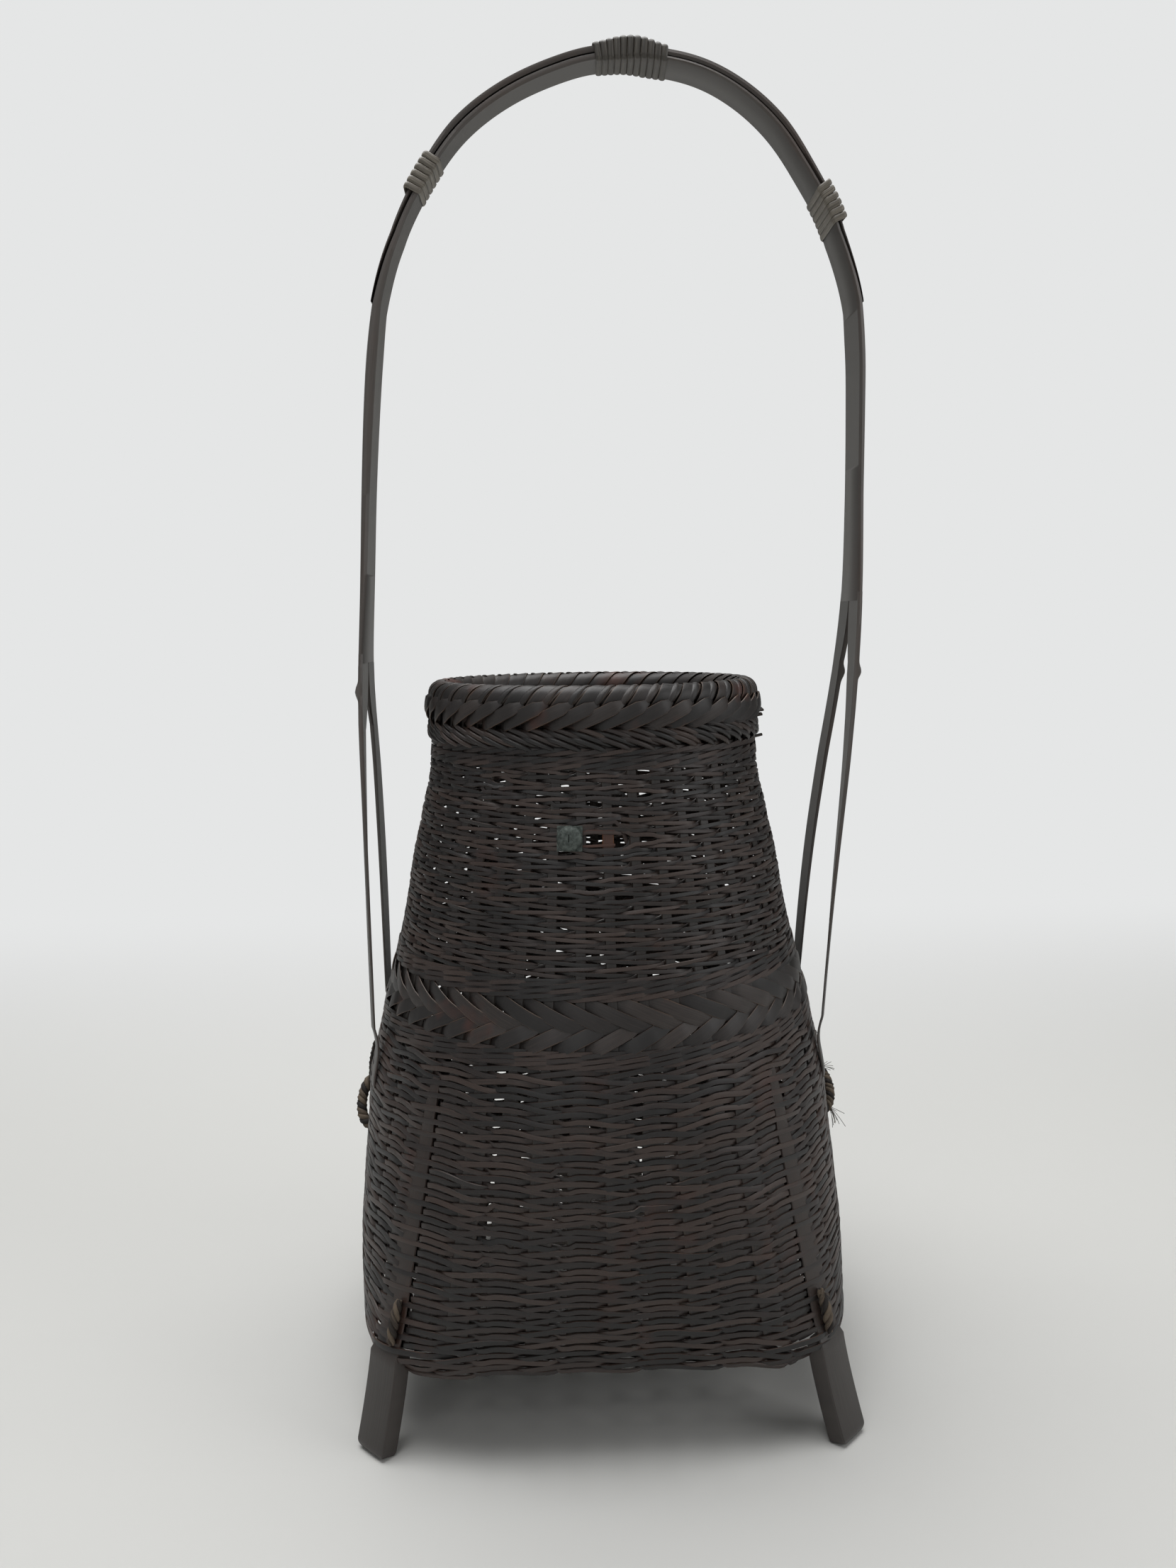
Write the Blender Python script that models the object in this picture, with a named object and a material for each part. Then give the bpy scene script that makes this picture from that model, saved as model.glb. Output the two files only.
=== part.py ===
# Ikebana basket: a woven bamboo body on four feet, with a tall lashed hoop handle.
# Metres, +Z up. The origin is at the middle of the feet, on the surface that they stand on.
# -Y is the front, and the handle arches from -X to +X.
import math

import bmesh
import bpy
import numpy as np
from mathutils import Matrix, Vector

mm = 0.001

# Heights above the surface
body_bottom = 33.5 * mm
lower_wall_height = 107.2 * mm
waist_band_height = 16.0 * mm
upper_wall_height = 80.2 * mm
collar_height = 9.6 * mm
stub_height = 4.0 * mm
rim_height = 10.6 * mm

# Body
belly_half_width = 93.1 * mm
waist_radius = 77.6 * mm
neck_radius = 60.6 * mm
wall_thickness = 1.6 * mm
floor_thickness = 2.0 * mm
joint_gap = 0.3 * mm
stake_count = 45
front_column_share = 0.19

# Openings of the weave: a coarse grid, with each opening between two stakes
opening_spacing = 3
lower_opening_rows = 3
lower_opening_width = 6.2 * mm
lower_opening_height = 11.0 * mm
upper_opening_rows = 4
upper_opening_width = 5.2 * mm
upper_opening_height = 10.0 * mm

# Stakes, the upright strips
stake_width = 7.6 * mm
stake_floor_width = 5.0 * mm
stake_upper_width = 3.5 * mm
stake_thickness = 0.9 * mm
stake_gap = 0.75 * mm
stake_bend_radius = 4.0 * mm

# Bands and braids
leaf_rise = 1.5 * mm
leaf_tuck = 0.3 * mm
rim_centre_radius = 58.2 * mm
rim_half_depth = 4.7 * mm
rim_leaf_rise = 1.1 * mm
rim_seat = 0.7 * mm
collar_rise = 1.2 * mm

# Feet
foot_width = 14.0 * mm
foot_thickness = 6.8 * mm
foot_reach = 119.0 * mm
foot_rounding = 1.6 * mm
shoulder_height = 1.3 * mm
slat_thickness = 1.6 * mm
slat_top_width = 6.5 * mm
slat_length = 118.0 * mm

# Handle
handle_height = 486.5 * mm
handle_half_span = 92.5 * mm
handle_foot_clearance = 2.1 * mm
handle_lean = 15.0 * mm
lean_start_height = 132.0 * mm
arch_start_height = 335.0 * mm
node_height = 261.0 * mm
leg_overlap = 36.7 * mm
left_split_height = 268.0 * mm
right_split_height = 288.0 * mm
hoop_thickness = 2.0 * mm
leg_thickness = 1.1 * mm
hoop_apex_depth = 13.5 * mm
hoop_side_depth = 21.0 * mm
leg_top_width = 12.0 * mm
leg_bottom_width = 6.0 * mm
leg_spread = 29.5 * mm
node_rise = 1.3 * mm
node_half_length = 5.0 * mm
crotch_gap = 0.8 * mm
crotch_length = 14.0 * mm
cover_strip_thickness = 1.8 * mm
cover_strip_tip_thickness = 0.8 * mm

# Lashings
lash_width = 1.9 * mm
lash_thickness = 0.7 * mm
lash_pitch = 2.45 * mm
lash_corner_radius = 1.1 * mm
top_lash_loops = 11
left_lash_loops = 7
right_lash_loops = 6

# Ties
cord_radius = 1.1 * mm
side_tie_height = 122.0 * mm
side_tie_drop = 13.0 * mm
side_tie_reach = 4.5 * mm
foot_tie_height = 52.0 * mm
foot_tie_length = 14.0 * mm
foot_tie_radius = 2.2 * mm

# Stud on the front of the upper wall
stud_height = 211.0 * mm
stud_azimuth = -99.5
stud_radius = 4.4 * mm
stud_dome = 1.5 * mm
stud_edge = 0.5 * mm
stud_slot_length = 2.6 * mm
stud_slot_width = 0.5 * mm
stud_slot_depth = 0.9 * mm
stud_plate_side = 8.6 * mm
stud_plate_thickness = 0.8 * mm
overrun = 0.5 * mm

# Steps for slopes and directions, and the distance within which points are one
arch_probe = 1.0 * mm
slope_probe = 5.0 * mm
merge_distance = 0.001 * mm

lower_top = body_bottom + lower_wall_height
band_bottom = lower_top + joint_gap
band_top = band_bottom + waist_band_height
upper_bottom = band_top + joint_gap
upper_top = upper_bottom + upper_wall_height
collar_bottom = upper_top + joint_gap
collar_top = collar_bottom + collar_height
stake_top = collar_top + stub_height
rim_bottom = stake_top + joint_gap - rim_seat
rim_top = rim_bottom + rim_height

# Outline of the body: share of the wall's height, share of the swell beyond the waist, exponent of the superellipse
lower_outline_shares = (
    (0.0, 0.73, 4.3),
    (0.025, 0.89, 4.0),
    (0.107, 1.0, 3.2),
    (0.34, 0.904, 2.55),
    (0.62, 0.748, 2.15),
    (0.83, 0.574, 2.0),
    (1.0, 0.27, 2.0),
)
# Share of the height from the waist to the stake tops, share of the narrowing from the waist to the neck
upper_outline_shares = (
    (0.0, 0.0),
    (0.24, 0.29),
    (0.54, 0.61),
    (0.79, 0.90),
    (1.0, 1.0),
)

outline = []
for height_share, swell_share, exponent in lower_outline_shares:
    half_width = waist_radius + swell_share * (belly_half_width - waist_radius)
    outline.append((body_bottom + height_share * lower_wall_height, half_width, exponent))
for height_share, narrowing_share in upper_outline_shares:
    height = upper_bottom + height_share * (stake_top - upper_bottom)
    outline.append((height, waist_radius - narrowing_share * (waist_radius - neck_radius), 2.0))
outline_table = np.array(outline)


def section_at(height):
    """Half width and exponent of the body's section at a height."""
    half_width = np.interp(height, outline_table[:, 0], outline_table[:, 1])
    exponent = np.interp(height, outline_table[:, 0], outline_table[:, 2])
    return half_width, exponent


def section_radius(half_width, exponent, angle):
    cosine = np.abs(np.cos(angle))
    sine = np.abs(np.sin(angle))
    return half_width / (cosine**exponent + sine**exponent) ** (1 / exponent)


def column_angles(half_width, exponent, columns):
    """Angles of columns that are spaced evenly along the section, counted from the front."""
    angles = np.linspace(-math.pi / 2, 1.5 * math.pi, 721)
    radii = section_radius(half_width, exponent, angles)
    points = np.stack([radii * np.cos(angles), radii * np.sin(angles)], 1)
    steps = np.linalg.norm(np.diff(points, axis=0), axis=1)
    travelled = np.concatenate([[0.0], np.cumsum(steps)])
    shares = ((np.asarray(columns, float) + front_column_share) / stake_count) % 1.0
    return np.interp(shares * travelled[-1], travelled, angles)


def wall_points(columns, height, offset):
    """Points on the body's section, moved out along its horizontal normal."""
    half_width, exponent = section_at(height)
    angles = column_angles(half_width, exponent, columns)
    radii = section_radius(half_width, exponent, angles)
    x = radii * np.cos(angles)
    y = radii * np.sin(angles)
    nx = np.sign(x) * np.abs(x / half_width) ** (exponent - 1)
    ny = np.sign(y) * np.abs(y / half_width) ** (exponent - 1)
    length = np.hypot(nx, ny)
    offset = np.asarray(offset, float)
    return np.stack([x + offset * nx / length, y + offset * ny / length, np.full_like(x, height)], 1)


def make_material(name, colour, roughness, metallic=0.0):
    material = bpy.data.materials.new(name)
    material.use_nodes = True
    shader = material.node_tree.nodes["Principled BSDF"]
    channels = [int(colour[i : i + 2], 16) / 255 for i in (1, 3, 5)]
    linear = [c / 12.92 if c <= 0.04045 else ((c + 0.055) / 1.055) ** 2.4 for c in channels]
    shader.inputs["Base Color"].default_value = (*linear, 1.0)
    shader.inputs["Roughness"].default_value = roughness
    shader.inputs["Metallic"].default_value = metallic
    material.diffuse_color = (*linear, 1.0)
    return material


def add_object(name, vertices, faces, material, smooth_degrees=35):
    mesh = bpy.data.meshes.new(name)
    mesh.from_pydata([tuple(v) for v in vertices], [], faces)
    work = bmesh.new()
    work.from_mesh(mesh)
    bmesh.ops.remove_doubles(work, verts=work.verts, dist=merge_distance)
    bmesh.ops.recalc_face_normals(work, faces=work.faces)
    work.to_mesh(mesh)
    work.free()
    mesh.materials.append(material)
    mesh.shade_smooth()
    mesh.set_sharp_from_angle(angle=math.radians(smooth_degrees))
    thing = bpy.data.objects.new(name, mesh)
    bpy.context.scene.collection.objects.link(thing)
    return thing


def add_ring(name, rows, material, smooth_degrees=35):
    """A closed ring: each row is a loop of points round the body, and the rows close on each other."""
    count = len(rows[0])
    vertices = [p for row in rows for p in row]
    faces = []
    for i in range(len(rows)):
        j = (i + 1) % len(rows)
        for k in range(count):
            m = (k + 1) % count
            faces.append((i * count + k, i * count + m, j * count + m, j * count + k))
    return add_object(name, vertices, faces, material, smooth_degrees)


def add_cup(name, rows, material):
    """A cup: the first row closes the underside, and the last row closes the floor inside."""
    count = len(rows[0])
    vertices = [p for row in rows for p in row]
    faces = [tuple(range(count))]
    for i in range(len(rows) - 1):
        for k in range(count):
            m = (k + 1) % count
            faces.append((i * count + k, i * count + m, (i + 1) * count + m, (i + 1) * count + k))
    last = (len(rows) - 1) * count
    faces.append(tuple(last + k for k in reversed(range(count))))
    return add_object(name, vertices, faces, material)


def add_loft(name, sections, material, smooth_degrees=35):
    """A bar through a row of closed sections, with flat ends."""
    count = len(sections[0])
    vertices = [p for section in sections for p in section]
    faces = [tuple(reversed(range(count)))]
    for i in range(len(sections) - 1):
        for k in range(count):
            m = (k + 1) % count
            faces.append((i * count + k, i * count + m, (i + 1) * count + m, (i + 1) * count + k))
    last = (len(sections) - 1) * count
    faces.append(tuple(last + k for k in range(count)))
    return add_object(name, vertices, faces, material, smooth_degrees)


def cut_with(thing, cutter, name):
    """Takes the cutter's space out of the solid."""
    cutter.parent = thing
    cutter.hide_render = True
    cutter.display_type = "WIRE"
    cut = thing.modifiers.new(name, "BOOLEAN")
    cut.operation = "DIFFERENCE"
    cut.solver = "EXACT"
    cut.object = cutter


def smooth_step(value):
    value = min(max(value, 0.0), 1.0)
    return value * value * (3 - 2 * value)


# Body walls: one flat facet for each stake
facet_corners = np.arange(stake_count) + 0.5


def outline_heights(bottom, top):
    inside = [h for h in outline_table[:, 0] if bottom + joint_gap < h < top - joint_gap]
    return [bottom, *inside, top]


def cut_openings(wall, bottom, top, rows, width, height, material):
    """Rows of openings through the wall, each row a stake further round than the row below it."""
    depth = 6 * wall_thickness
    work = bmesh.new()
    for row in range(rows):
        level = bottom + (row + 0.5) / rows * (top - bottom)
        for column in range(row, row + stake_count, opening_spacing):
            place, outside = (wall_points([column + 0.5], level, offset)[0] for offset in (0.0, wall_thickness))
            out = Vector(outside - place).normalized()
            along = Vector((out.y, -out.x, 0.0))
            turned = Matrix((along, out, (0.0, 0.0, 1.0))).transposed().to_4x4()
            box = Matrix.Translation(place) @ turned @ Matrix.Diagonal((width, depth, height, 1))
            bmesh.ops.create_cube(work, size=1, matrix=box)
    mesh = bpy.data.meshes.new(f"{wall.name}_openings_cutter")
    work.to_mesh(mesh)
    work.free()
    mesh.materials.append(material)
    cutter = bpy.data.objects.new(mesh.name, mesh)
    bpy.context.scene.collection.objects.link(cutter)
    cut_with(wall, cutter, "openings")


def make_lower_wall(material):
    rows = [wall_points(facet_corners, h, 0.0) for h in outline_heights(body_bottom, lower_top)]
    floor_top = body_bottom + floor_thickness
    inner = [h for h in outline_heights(body_bottom, lower_top) if h > floor_top + joint_gap]
    rows += [wall_points(facet_corners, h, -wall_thickness) for h in reversed(inner)]
    rows.append(wall_points(facet_corners, floor_top, -wall_thickness))
    wall = add_cup("lower_wall", rows, material)
    sizes = (lower_opening_rows, lower_opening_width, lower_opening_height)
    cut_openings(wall, floor_top + wall_thickness, lower_top, *sizes, material)


def make_upper_wall(material):
    heights = outline_heights(upper_bottom, upper_top)
    rows = [wall_points(facet_corners, h, 0.0) for h in heights]
    rows += [wall_points(facet_corners, h, -wall_thickness) for h in reversed(heights)]
    wall = add_ring("upper_wall", rows, material)
    sizes = (upper_opening_rows, upper_opening_width, upper_opening_height)
    cut_openings(wall, upper_bottom, upper_top, *sizes, material)


# Each leaf of a braid has a tucked edge and a free edge, and the leaves lean along the ring
free_edge_share = 0.86
leaf_columns = np.array([k + share for k in range(stake_count) for share in (0.0, free_edge_share)])
is_free_edge = np.tile([False, True], stake_count)


def leaf_row(height, lean, base, tucked, free):
    """One loop of a braid: its columns lean by a share of the stake spacing."""
    offset = base + np.where(is_free_edge, free, tucked)
    return wall_points(leaf_columns + lean, height, offset)


def make_waist_band(material):
    middle = band_bottom + 0.5 * waist_band_height
    edge = 0.06 * waist_band_height
    rows = [
        leaf_row(band_bottom, 0.0, 0.0, 0.0, leaf_tuck),
        leaf_row(band_bottom + edge, 0.15, 0.0, leaf_tuck, leaf_rise),
        leaf_row(middle - edge, 1.0, 0.0, leaf_tuck, leaf_rise),
        leaf_row(middle, 1.08, 0.0, 0.0, leaf_tuck),
        leaf_row(middle + edge, 1.0, 0.0, leaf_tuck, leaf_rise),
        leaf_row(band_top - edge, 0.15, 0.0, leaf_tuck, leaf_rise),
        leaf_row(band_top, 0.0, 0.0, 0.0, leaf_tuck),
        leaf_row(band_top, 0.0, -wall_thickness, 0.0, 0.0),
        leaf_row(band_bottom, 0.0, -wall_thickness, 0.0, 0.0),
    ]
    return add_ring("waist_band", rows, material, 20)


def make_collar(material):
    edge = 0.12 * collar_height
    rows = [
        leaf_row(collar_bottom, 1.2, 0.0, 0.0, leaf_tuck),
        leaf_row(collar_bottom + edge, 1.1, 0.0, leaf_tuck, collar_rise),
        leaf_row(collar_top - edge, 0.1, 0.0, leaf_tuck, collar_rise),
        leaf_row(collar_top, 0.0, 0.0, 0.0, leaf_tuck),
        leaf_row(collar_top, 0.0, -wall_thickness, 0.0, 0.0),
        leaf_row(collar_bottom, 0.0, -wall_thickness, 0.0, 0.0),
    ]
    return add_ring("collar_braid", rows, material, 20)


def make_rim(material):
    """The rim's leaves wind round the ring, once for each stake."""
    centre_height = rim_bottom + 0.5 * rim_height
    steps = 9
    rows = []
    for i in range(steps):
        turn = 2 * math.pi * i / steps
        lean = i / steps
        reach = np.where(is_free_edge, 0.0, -rim_leaf_rise)
        radial = (rim_half_depth + reach) * math.cos(turn)
        height = centre_height + (0.5 * rim_height + reach) * math.sin(turn)
        angles = -math.pi / 2 + 2 * math.pi * (leaf_columns + front_column_share + lean) / stake_count
        radii = rim_centre_radius + radial
        rows.append(np.stack([radii * np.cos(angles), radii * np.sin(angles), height], 1))
    first, last = rows[0], rows[-1]
    count = len(first)
    vertices = [p for row in rows for p in row]
    faces = []
    for i in range(steps):
        j = (i + 1) % steps
        shift = 2 if j == 0 else 0
        for k in range(count):
            m = (k + 1) % count
            a, b = (k + shift) % count, (m + shift) % count
            faces.append((i * count + k, i * count + m, j * count + b, j * count + a))
    return add_object("rim_braid", vertices, faces, material, 25)


# Stakes: strips that run up one wall, across the floor and up the opposite wall
floor_top = body_bottom + floor_thickness


def stake_width_at(height):
    """Narrow on the floor, wide in the lower wall and narrow again from the waist up."""
    share = (height - body_bottom) / lower_wall_height
    width = stake_floor_width + smooth_step((share - 0.03) / 0.07) * (stake_width - stake_floor_width)
    return width + smooth_step((share - 0.62) / 0.38) * (stake_upper_width - width)


def stake_seat(column, height):
    """Middle of a stake against the inside of its facet, with the direction along the wall and the inward one."""
    left, right = wall_points([column - 0.5, column + 0.5], height, -wall_thickness)
    along = (right - left) / np.linalg.norm(right - left)
    inward = np.array([-along[1], along[0], 0.0])
    if inward @ left > 0:
        inward = -inward
    return 0.5 * (left + right) + inward * (stake_gap + 0.5 * stake_thickness), along, inward


def stake_corners(centre, along, rise, width):
    """Rectangle of a stake: rise points from its outer face to its inner one."""
    half = 0.5 * width * along
    step = 0.5 * stake_thickness * rise
    return [centre - half - step, centre + half - step, centre + half + step, centre - half + step]


bend_turns = (0.0, math.pi / 6, math.pi / 3, math.pi / 2)


def stake_side(column, way, level):
    """Sections from a stake's top down its wall and round the bend onto the floor, where it runs on in direction way."""
    across = np.array([-way[1], way[0], 0.0])
    upward = np.array([0.0, 0.0, 1.0])
    bend_top = level + 0.5 * stake_thickness + stake_bend_radius
    sections = []
    for height in [h for h in reversed(outline_table[:, 0]) if h > bend_top + joint_gap] + [bend_top]:
        centre, along, inward = stake_seat(column, height)
        if along @ across < 0:
            along = -along
        sections.append(stake_corners(centre, along, inward, stake_width_at(height)))
    run = stake_bend_radius + 0.5 * stake_floor_width * abs(along @ way) / (along @ across)
    for turn in bend_turns[1:]:
        share = turn / bend_turns[-1]
        place = centre + way * run * (1 - math.cos(turn)) - upward * stake_bend_radius * math.sin(turn)
        width_way = along + share * (across - along)
        level_way = inward + share * (way - inward)
        rise = level_way / np.linalg.norm(level_way) * math.cos(turn) + upward * math.sin(turn)
        width = stake_width_at(place[2])
        sections.append(stake_corners(place, width_way / np.linalg.norm(width_way), rise, width))
    return sections


def make_stake(name, column, far_column, level, way, material):
    """far_column is None for the odd stake, which ends on the floor."""
    sections = stake_side(column, way, level)
    if far_column is None:
        run = way * (-0.9 * (sections[-1][0] @ way))
        sections.append([p + run for p in sections[-1]])
    else:
        far_side = stake_side(far_column, -way, level)
        sections += [[s[1], s[0], s[3], s[2]] for s in reversed(far_side)]
    return add_loft(name, sections, material)


def make_stakes(material):
    """Front and back stakes lie over the side ones on the floor."""
    lower_level = floor_top + joint_gap
    upper_level = lower_level + stake_thickness + joint_gap
    along_y = np.array([0.0, 1.0, 0.0])
    along_x = np.array([1.0, 0.0, 0.0])
    quarter = stake_count // 4
    half = quarter // 2
    made = []
    for i in range(quarter):
        front = i - half
        back = 2 * quarter + half - i
        made.append(make_stake(f"stake_y_{i + 1:02d}", front, back, upper_level, along_y, material))
    for i in range(quarter):
        right = half + 1 + i
        left = stake_count - half - 1 - i
        made.append(make_stake(f"stake_x_{i + 1:02d}", left, right, lower_level, along_x, material))
    odd = 2 * quarter + half + 1
    made.append(make_stake("stake_odd", odd, None, lower_level, along_x, material))
    return made


# Foot slats: bamboo slats on the corners, whose thick lower ends splay out below the body as its feet.
# Each is modelled on the X axis and turned to its corner.
def corner_reach(height):
    """How far the body reaches along its diagonal, from the axis."""
    half_width, exponent = section_at(height)
    dual = exponent / (exponent - 1)
    return half_width * (2 * math.sqrt(0.5) ** dual) ** (1 / dual)


foot_height_shares = (0.0, 0.05, 0.12, 0.35, 0.62, 0.85, 1.0)


def slat_inner_reach(height):
    return corner_reach(height) + joint_gap


def make_foot_mesh():
    """The foot curves out towards its flat lower end; the slat above it follows the wall."""
    foot_top = body_bottom - joint_gap - shoulder_height
    top_outer = slat_inner_reach(body_bottom) + slat_thickness
    rows = []
    for share in foot_height_shares:
        height = share * foot_top
        outer = top_outer + (foot_reach - top_outer) * (1 - share) ** 1.6
        rounding = foot_rounding * max(1 - height / (2 * foot_rounding), 0.0) ** 2
        rows.append((height, outer - foot_thickness + 0.4 * rounding, outer - 0.4 * rounding, foot_width - 2 * rounding))
    shoulder = body_bottom - joint_gap
    inner = slat_inner_reach(body_bottom)
    rows.append((shoulder, inner, inner + slat_thickness, foot_width))
    for height in [h for h in outline_table[:, 0] if body_bottom < h < slat_length] + [slat_length]:
        share = (height - body_bottom) / (slat_length - body_bottom)
        inner = slat_inner_reach(height)
        width = foot_width + smooth_step(share / 0.6) * (slat_top_width - foot_width)
        rows.append((height, inner, inner + slat_thickness, width))
    sections = []
    for height, near, far, width in rows:
        half = 0.5 * width
        sections.append([(near, -half, height), (near, half, height), (far, half, height), (far, -half, height)])
    return sections


def make_foot_slat(name, angle, sections, material):
    slat = add_loft(name, [[np.array(p) for p in section] for section in sections], material, 20)
    slat.rotation_euler = (0.0, 0.0, angle)
    return slat


def make_foot_tie(name, angle, side, material):
    """A twisted cord that ties the slat to the weave beside it: a square bar twisted along its length."""
    steps = 14
    sections = []
    for i in range(steps + 1):
        share = i / steps
        height = (share - 0.5) * foot_tie_length
        swell = 0.45 + 0.55 * math.sin(math.pi * share) ** 0.5
        radius = foot_tie_radius * swell
        outside = slat_inner_reach(foot_tie_height + height) + slat_thickness
        centre = np.array([outside + joint_gap + foot_tie_radius, side * 0.25 * foot_width, height])
        turn = 2 * math.pi * 1.5 * share
        corners = []
        for k in range(4):
            a = turn + math.pi / 2 * k
            corners.append(centre + radius * np.array([math.cos(a), math.sin(a), 0.0]))
        sections.append(corners)
    tie = add_loft(name, sections, material)
    tie.location = (0.0, 0.0, foot_tie_height)
    tie.rotation_euler = (0.0, 0.0, angle)
    return tie


# Handle: an arch whose half span follows the square root of one minus a power of the height
leg_bottom = lower_top - leg_overlap
handle_foot_half_span = section_at(lower_top)[0] + handle_foot_clearance
cover_end_share = 0.449
left_lash_share = 0.713
right_lash_share = 0.640
arch_power = 2.9
arch_top = handle_height - cover_strip_thickness - joint_gap


def lean_at(height):
    return handle_lean * (height - lean_start_height) / (handle_height - lean_start_height)


def arch_height(share):
    """Height at a share of the way from the arch's spring to its top."""
    return arch_start_height + share * (handle_height - arch_start_height)


def hoop_half_span(height):
    if height > arch_start_height:
        share = (height - arch_start_height) / (arch_top - arch_start_height)
        return handle_half_span * math.sqrt(max(1 - share**arch_power, 0.0))
    share = (height - leg_bottom) / (0.78 * (arch_start_height - leg_bottom))
    return handle_foot_half_span + min(share, 1.0) * (handle_half_span - handle_foot_half_span)


def arch_line():
    """Points of the hoop's outer face from the left split to the right one, evenly spaced."""
    turns = np.linspace(0.0, math.pi, 2001)
    share = np.sin(turns) ** (2 / arch_power)
    height = arch_start_height + (arch_top - arch_start_height) * share
    x = -handle_half_span * np.cos(turns)
    left = [h for h in np.linspace(left_split_height, arch_start_height, 60)[:-1]]
    right = [h for h in np.linspace(arch_start_height, right_split_height, 60)[1:]]
    x = np.concatenate([[-hoop_half_span(h) for h in left], x, [hoop_half_span(h) for h in right]])
    height = np.concatenate([left, height, right])
    x = x + np.array([lean_at(h) for h in height])
    points = np.stack([x, height], 1)
    travelled = np.concatenate([[0.0], np.cumsum(np.linalg.norm(np.diff(points, axis=0), axis=1))])
    return points, travelled


arch_points, arch_travel = arch_line()


def arch_frame(distance):
    """Point on the hoop's outer face, direction along it and outward normal, at a distance along the arch."""
    step = arch_probe
    place = np.array([np.interp(distance, arch_travel, arch_points[:, i]) for i in (0, 1)])
    before = np.array([np.interp(distance - step, arch_travel, arch_points[:, i]) for i in (0, 1)])
    after = np.array([np.interp(distance + step, arch_travel, arch_points[:, i]) for i in (0, 1)])
    along = (after - before) / np.linalg.norm(after - before)
    normal = np.array([-along[1], along[0]])
    return (
        np.array([place[0], 0.0, place[1]]),
        np.array([along[0], 0.0, along[1]]),
        np.array([normal[0], 0.0, normal[1]]),
    )


def distance_at(height, right):
    """Distance along the arch to a height on its left or right side."""
    top = int(np.argmax(arch_points[:, 1]))
    if right:
        return float(np.interp(-height, -arch_points[top:, 1], arch_travel[top:]))
    return float(np.interp(height, arch_points[: top + 1, 1], arch_travel[: top + 1]))


apex_distance = float(arch_travel[int(np.argmax(arch_points[:, 1]))])

# Half depth of the handle, front to back: height as a share of the way from the legs' feet to the top
depth_height_shares = (0.0, 0.16, 0.225, 0.32, 0.37, 0.42, 0.51, 0.62, 0.8, 1.0)
depth_way_shares = (0.98, 1.0, 0.97, 0.82, 0.62, 0.42, 0.15, 0.02, 0.0, 0.0)


def half_depth(height):
    """Half of the handle's depth at a height, out to the outer edges of both legs."""
    share = (height - leg_bottom) / (handle_height - leg_bottom)
    way = np.interp(share, depth_height_shares, depth_way_shares)
    narrow = np.interp(share, (0.0, 0.6, 1.0), (1.0, 1.0, 0.0))
    strip = 0.5 * (hoop_apex_depth + narrow * (hoop_side_depth - hoop_apex_depth))
    return strip + way * (leg_spread - strip)


def leg_width(height):
    share = (height - leg_bottom) / (node_height - leg_bottom)
    return leg_bottom_width + min(share, 1.0) * (leg_top_width - leg_bottom_width)


def node_bulge(height):
    return node_rise * max(0.0, 1 - abs(height - node_height) / node_half_length)


leg_height_shares = (0.0, 0.08, 0.17, 0.28, 0.4, 0.52, 0.64, 0.75, 0.83, 0.9)


def leg_sections(side, front, split):
    """Rectangles down one leg, from just under the split to its tip in the weave."""
    below_node = node_height - node_half_length
    above_node = node_height + node_half_length
    heights = [leg_bottom + share * (below_node - leg_bottom) for share in leg_height_shares]
    heights += [below_node, node_height]
    if above_node + joint_gap < split:
        heights.append(above_node)
    heights += [h for h in (split - 0.6 * crotch_length,) if h > above_node + joint_gap]
    heights.append(split)
    sections = []
    for height in reversed(heights):
        outer = half_depth(height)
        opening = smooth_step((split - height) / crotch_length)
        inner = max(outer - leg_width(height), 0.0) * opening
        inner = max(inner, 0.5 * crotch_gap)
        width = outer - inner
        centre_y = 0.5 * (outer + inner)
        down = smooth_step((node_height - height) / (node_height - lower_top))
        thickness = hoop_thickness + down * (leg_thickness - hoop_thickness)
        twist = down * math.atan2(leg_spread, handle_foot_half_span)
        x = hoop_half_span(height) + side * lean_at(height) - 0.5 * thickness
        azimuth = math.atan2(centre_y, x)
        half_width, exponent = section_at(height)
        wall = section_radius(half_width, exponent, azimuth) if height < lower_top else 0.0
        clear = wall + joint_gap + 0.5 * thickness + 0.25 * leg_thickness
        reach = max(math.hypot(x, centre_y), clear)
        x = reach * math.cos(azimuth)
        centre_y = reach * math.sin(azimuth)
        out = np.array([math.cos(twist), math.sin(twist), 0.0])
        along = np.array([-math.sin(twist), math.cos(twist), 0.0])
        centre = np.array([x, centre_y, height])
        far = centre + out * (0.5 * thickness + node_bulge(height))
        near = centre - out * 0.5 * thickness
        corners = [
            far - along * 0.5 * width,
            far + along * 0.5 * width,
            near + along * 0.5 * width,
            near - along * 0.5 * width,
        ]
        mirror = np.array([side, -1.0 if front else 1.0, 1.0])
        sections.append([c * mirror for c in corners])
    return sections


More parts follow.
